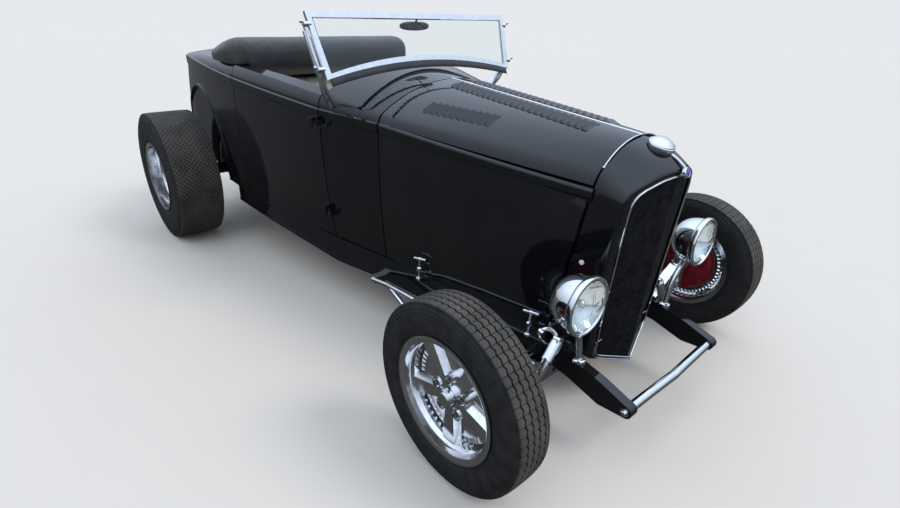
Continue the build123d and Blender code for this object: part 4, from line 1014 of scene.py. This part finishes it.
def drumRing(side):
    # a band round the drum whose edge rises and falls once for each fin
    around = frontEnd["fins"] * 4
    turn = np.linspace(0, 2 * np.pi, around, endpoint=False)[:, None]
    tooth = np.tile((0, 1, 1, 0), frontEnd["fins"])[:, None]
    # outward, radius, and how far a slot between fins moves the point outward and in
    rows = np.array([(0, 147, 0, 0), (-6, 150, 0, 0), (-9, 152, 4, 0), (-9, 164, 4, 3), (-5, 168, 5, 6),
                     (26, 170, 5, 6), (26, 147, 0, 0)])
    out, radius = rows[:, 0] + rows[:, 2] * tooth, rows[:, 1] - rows[:, 3] * tooth
    grid = np.stack((side * (frontEnd["ringX"] + out), radius * np.cos(turn),
                     frontEnd["axleZ"] + radius * np.sin(turn)), 2)
    return [surface(grid, closeRows=True, closeColumns=True)]


def spreaderParts():
    # a bar bent forward at its middle, with a washer and a bolt head outside each horn
    parts = [tube(curveThrough(frontEnd["spreader"], 41), frontEnd["spreaderRadius"], 24)]
    washer, head = [(-1, 0), (-1, 15), (3, 15), (3, 0)], [(2, 0), (2, 10), (9, 10), (11, 8), (11, 0)]
    for _, side in sides:
        spot = np.array(frontEnd["hornBolt"]) * (side, 1, 1)
        parts += [revolved(washer, spot, (side, 0, 0), 24), revolved(head, spot, (side, 0, 0), 6)]
    return parts


addPiece("spreader_bar_tube", spreaderParts(), finishes["chrome"], "chassis", ("spreader_bar",), sharp=40)
for name, side in sides:
    addPiece(f"front_shock_{name}_body", shockParts(side), finishes["chrome"], "chassis",
             (f"front_shock_{name}",), sharp=40)
    addPiece(f"backing_plate_{name}", backingPlate(side), finishes["maroon"], f"knuckle_{name}",
             slot="steel", sharp=45)
    addPiece(f"drum_ring_{name}", drumRing(side), finishes["polished_wheel"], f"wheel_front_{name}",
             slot="polished_wheel", sharp=25)
print("front end made")

# Soft pieces: the seat's construction solids are remeshed, swelled by a cloth simulation, then sewn; the
# folded top's cover is a new surface

soft = {"voxel": 0.0065, "pressure": 4.0, "frames": 16, "tension": 15, "cap": 0.012,
        "rounding": 4, "roundingFactor": 0.5,
        "pleatPitch": 0.046, "pleatDepth": 0.006, "seamWidth": 0.005, "seamFacing": 0.25,
        # node, axis and metres that its channels run between, direction that they face
        "pads": (("seat_back", 2, 0.6, 1.1, (0, -1, 0.2)), ("seat_cushion", 1, 0.16, 0.52, (0, 0, 1))),
        "padFill": 0.8, "bootFill": 0.6}


def applied(piece):
    # the mesh that the piece's modifiers give, kept as its own
    evaluated = piece.evaluated_get(bpy.context.evaluated_depsgraph_get())
    mesh = bpy.data.meshes.new_from_object(evaluated)
    piece.modifiers.clear()
    old, piece.data = piece.data, mesh
    bpy.data.meshes.remove(old)


def coordinates(mesh):
    places = np.empty(len(mesh.vertices) * 3)
    mesh.vertices.foreach_get("co", places)
    return places.reshape(-1, 3)


def padFrom(node, name):
    # the voxel mesh of a construction solid, swelled by pressure but nowhere by more than the cap
    points, triangles = mergedNode(node)
    pad = meshObject(name, points, triangles, 60)
    remesh = pad.modifiers.new("even", "REMESH")
    remesh.mode = "VOXEL"
    remesh.voxel_size = soft["voxel"]
    soften = pad.modifiers.new("round", "SMOOTH")
    soften.iterations = soft["rounding"]
    soften.factor = soft["roundingFactor"]
    applied(pad)
    start = coordinates(pad.data)
    cloth = pad.modifiers.new("swell", "CLOTH")
    cloth.settings.use_pressure = True
    cloth.settings.uniform_pressure_force = soft["pressure"]
    cloth.settings.effector_weights.gravity = 0
    cloth.settings.tension_stiffness = soft["tension"]
    for step in range(1, soft["frames"] + 1):
        bpy.context.scene.frame_set(step)
    applied(pad)
    bpy.context.scene.frame_set(1)
    swelled = coordinates(pad.data)
    move = swelled - start
    length = np.linalg.norm(move, axis=1, keepdims=True)
    swelled = start + move * np.minimum(1, soft["cap"] / np.maximum(length, 1e-9))
    pad.data.vertices.foreach_set("co", swelled.ravel())
    return pad


def sew(pad, along, low, high, facing):
    # vertical channels: a narrow valley at each seam and a soft crown between two seams
    places = coordinates(pad.data)
    normals = np.empty(len(pad.data.vertices) * 3)
    pad.data.vertices.foreach_get("normal", normals)
    normals = normals.reshape(-1, 3)
    pitch = soft["pleatPitch"]
    across = (places[:, 0] / pitch) % 1 - 0.5
    valley = np.exp(-((0.5 - np.abs(across)) * pitch / soft["seamWidth"]) ** 2)
    inside = (places[:, along] > low) & (places[:, along] < high)
    inside &= normals @ np.array(facing) > soft["seamFacing"]
    places -= normals * (valley * inside * soft["pleatDepth"])[:, None]
    pad.data.vertices.foreach_set("co", places.ravel())


def finishPad(pad, node, finish):
    # smooth faces, material and body
    pad.data.polygons.foreach_set("use_smooth", [True] * len(pad.data.polygons))
    pad.data.update()
    fasten(pad, finish, "chassis", (node,))


for node, *channels in soft["pads"]:
    pad = padFrom(node, f"{node}_pad")
    sew(pad, *channels)
    finishPad(pad, node, finishes["cream_leather"])
boot = {"half": 598, "taperFrom": 490, "taperTo": 605, "front": 1908, "endFront": 2055, "rear": 2298,
        "low": 1036, "endLow": 1098, "top": 1241, "endTop": 1206, "roundFrom": 535, "power": 3.1,
        "deckFrom": 2136, "edgeX": 500, "deckGap": 3, "rows": 97, "columns": 56,
        "sagFrom": 2060, "sagPower": 1.6, "sagRate": 0.0068, "creaseHeight": 2.2,
        # station, shoulder x and z, crown z of the deck below it
        "deck": ((2020, 553, 1107, 1190), (2330, 545, 1121, 1184))}


def deckHeight(x, station):
    # crown arc of the body over its shoulders, in proportion between two of its sections
    first, last = boot["deck"]
    share = (station - first[0]) / (last[0] - first[0])
    shoulderX, shoulderZ, top = (a + (b - a) * share for a, b in zip(first[1:], last[1:]))
    drop = top - shoulderZ
    arc = (shoulderX ** 2 + drop ** 2) / (2 * drop)
    return top - arc + np.sqrt(arc ** 2 - np.minimum(np.abs(x), shoulderX) ** 2)


def bootSurface():
    # a full rounded section carried across the car, smaller towards its ends, where it closes
    x = boot["half"] * np.sin(np.linspace(-np.pi / 2, np.pi / 2, boot["rows"]))[:, None]
    taper = np.clip((np.abs(x) - boot["taperFrom"]) / (boot["taperTo"] - boot["taperFrom"]), 0, 1)
    taper = taper * taper * (3 - 2 * taper)
    front = boot["front"] + (boot["endFront"] - boot["front"]) * taper
    low = boot["low"] + (boot["endLow"] - boot["low"]) * taper
    top = boot["top"] + (boot["endTop"] - boot["top"]) * taper
    past = np.maximum(np.abs(x) - boot["roundFrom"], 0) / (boot["half"] - boot["roundFrom"])
    closing = np.sqrt(np.clip(1 - past ** 2, 0, 1))
    t = np.linspace(0, 2 * np.pi, boot["columns"], endpoint=False)[None, :]
    power = 2 / boot["power"]
    along = np.sign(np.cos(t)) * np.abs(np.cos(t)) ** power * closing
    up = np.sign(np.sin(t)) * np.abs(np.sin(t)) ** power * closing
    y = (front + boot["rear"]) / 2 + (boot["rear"] - front) / 2 * along
    z = (low + top) / 2 + (top - low) / 2 * up
    # its top sags to the rear and is lightly creased, more so where it tapers
    z = z - np.maximum(up, 0) * np.clip(y - boot["sagFrom"], 0, 300) ** boot["sagPower"] * boot["sagRate"]
    crease = np.sin(x / 61 + 1.3 * np.sin(y / 90)) * np.sin(y / 47 + x / 160) * (0.4 + taper)
    z = z + boot["creaseHeight"] * crease * np.maximum(up, 0)
    onDeck = (np.abs(x) > boot["edgeX"]) | (y > boot["deckFrom"])
    floor = np.where(onDeck, deckHeight(x, y) + boot["deckGap"], low)
    return surface(np.stack((x + 0 * y, y, np.maximum(z, floor)), 2)[1:-1], closeColumns=True, caps=True)


points, faces = bootSurface()
finishPad(meshObject("top_boot_cover", toFrame(points), faces, 80), "top_boot",
          finishes["black_vinyl"])
print("soft pieces made")

# Dash with three round dials, each with ticks on a pale face

dash = {"dials": ((-150, 44), (0, 52), (150, 44)), "aft": 1168, "z": 1030, "ticks": (0.72, 0.86),
        "tickAft": 4, "handTurn": 0.6, "handReach": 0.66}
rims, faces, ticks = [], [], []
for x, radius in dash["dials"]:
    spot = np.array((x, dash["aft"], dash["z"]))
    rim = [(0, radius - 4), (5, radius - 3), (7, radius), (5, radius + 4), (0, radius + 5)]
    rims.append(revolved(rim, spot, (0, 1, 0), 48, closed=True))
    faces.append(revolved([(0, 0), (0, radius), (3, radius), (3, 0)], spot, (0, 1, 0), 48))
    for turn in np.radians(np.arange(-130, 131, 26)):
        out = np.array((math.sin(turn), 0, math.cos(turn)))
        start, end = (spot + out * radius * share + (0, dash["tickAft"], 0) for share in dash["ticks"])
        ticks.append(tube(np.linspace(start, end, 3), 1.1, 6))
    hand = np.array((math.sin(dash["handTurn"]), 0, math.cos(dash["handTurn"])))
    pivot = spot + (0, 5, 0)
    tip = pivot + hand * radius * dash["handReach"]
    ticks.append(tube(np.linspace(pivot - hand * 8, tip, 4), 1.3, 6))
addChrome("dial_rims", rims)
addPiece("dial_faces", faces, finishes["cream_leather"], "chassis", slot="cream_leather")
addPiece("dial_ticks", ticks, finishes["black_vinyl"], "chassis", slot="black_vinyl")
print("dash made")

# Floor, light and camera

studio = {"floorSize": 900, "floorColour": (0.6, 0.54, 0.47), "floorMirrored": (0.06, 0.053, 0.042),
          "skyStrength": 0.7, "horizon": (0.5, 0.52, 0.54), "middle": (0.85, 1.0, 1.25),
          "zenith": (1.7, 2.0, 2.45), "seen": (1.13, 1.16, 1.22), "middleAt": 0.22, "zenithAt": 0.9,
          # direction, width in degrees, strength
          "suns": (((0.5, -0.75, 1.0), 22, 1.2), ((-0.9, -0.3, 0.9), 40, 0.4))}


def makeFloor():
    # one large square, seen pale by the camera and dark in reflections
    half = studio["floorSize"] / 2
    mesh = bpy.data.meshes.new("floor_ground")
    corners = [(-half, -half, 0), (half, -half, 0), (half, half, 0), (-half, half, 0)]
    mesh.from_pydata(corners, [], [(0, 1, 2, 3)])
    ground = bpy.data.objects.new("floor_ground", mesh)
    bpy.context.scene.collection.objects.link(ground)
    m = newMaterial("paleFloor", Roughness=0.9)
    shown = twoColours(m, noiseAt(m, 3, 8), studio["floorColour"],
                       tuple(part * 0.96 for part in studio["floorColour"]))
    # 1 for rays that a mirror sends, 0 for the camera's and those through glass
    path = addNode(m, "ShaderNodeLightPath").outputs
    mirrored = addNode(m, "ShaderNodeMath", {"operation": "SUBTRACT", "use_clamp": True})
    wire(m, path["Is Glossy Ray"], mirrored.inputs[0])
    wire(m, path["Is Transmission Ray"], mirrored.inputs[1])
    setColour(m, mixed(m, mirrored.outputs[0], shown, (*studio["floorMirrored"], 1)))
    mesh.materials.append(m)


def makeLight():
    # a sky that brightens overhead, and two wide suns
    world = bpy.data.worlds.new("studio")
    world.use_nodes = True
    background = world.node_tree.nodes["Background"]
    background.inputs["Strength"].default_value = studio["skyStrength"]
    links, make = world.node_tree.links, world.node_tree.nodes.new
    direction = make("ShaderNodeSeparateXYZ")
    links.new(make("ShaderNodeTexCoord").outputs["Generated"], direction.inputs["Vector"])
    ramp = make("ShaderNodeValToRGB")   # from the horizon to overhead
    low, high = ramp.color_ramp.elements
    low.color = (*studio["horizon"], 1)
    high.position = studio["zenithAt"]
    high.color = (*studio["zenith"], 1)
    middle = ramp.color_ramp.elements.new(studio["middleAt"])
    middle.color = (*studio["middle"], 1)
    links.new(direction.outputs["Z"], ramp.inputs["Fac"])
    shown = make("ShaderNodeMix")
    shown.data_type = "RGBA"
    links.new(make("ShaderNodeLightPath").outputs["Is Camera Ray"], shown.inputs[0])
    links.new(ramp.outputs["Color"], shown.inputs[6])
    shown.inputs[7].default_value = (*studio["seen"], 1)
    links.new(shown.outputs[2], background.inputs["Color"])
    bpy.context.scene.world = world
    for index, (spot, width, strength) in enumerate(studio["suns"]):
        sun = bpy.data.lights.new(f"softSun{index}", "SUN")
        sun.angle = math.radians(width)
        sun.energy = strength
        holder = bpy.data.objects.new(f"softSun{index}", sun)
        holder.visible_glossy = False   # paint and chrome mirror the sky only
        pitch = math.atan2(math.hypot(spot[0], spot[1]), spot[2])
        holder.rotation_euler = (pitch, 0, math.atan2(spot[0], -spot[1]))
        bpy.context.scene.collection.objects.link(holder)


view = {"spot": (-1.6349, -2.3727, 1.3691), "yaw": 42.1387, "pitch": -24.7885, "roll": 1.2922,
        "focalPixels": 516.69, "pictureWidth": 900, "sensor": 36.0}


def makeCamera():
    # right, up and backward axes from yaw, pitch and roll; lens from the focal length in pixels
    yaw, pitch, roll = (math.radians(view[key]) for key in ("yaw", "pitch", "roll"))
    flat = math.cos(pitch)
    forward = np.array((math.sin(yaw) * flat, math.cos(yaw) * flat, math.sin(pitch)))
    level = np.array((math.cos(yaw), -math.sin(yaw), 0))
    rise = np.cross(level, forward)
    right = math.cos(roll) * level + math.sin(roll) * rise
    up = -math.sin(roll) * level + math.cos(roll) * rise
    lens = bpy.data.cameras.new("photoCamera")
    lens.sensor_width = view["sensor"]
    lens.lens = view["focalPixels"] * view["sensor"] / view["pictureWidth"]
    lens.clip_end = 1500
    holder = bpy.data.objects.new("photoCamera", lens)
    turn = np.eye(4)
    turn[:3, 0], turn[:3, 1], turn[:3, 2], turn[:3, 3] = right, up, -forward, view["spot"]
    holder.matrix_world = Matrix(turn.tolist())
    bpy.context.scene.collection.objects.link(holder)
    bpy.context.scene.camera = holder


makeFloor()
makeLight()
makeCamera()
bpy.context.scene.view_settings.view_transform = "Standard"
print("studio ready")
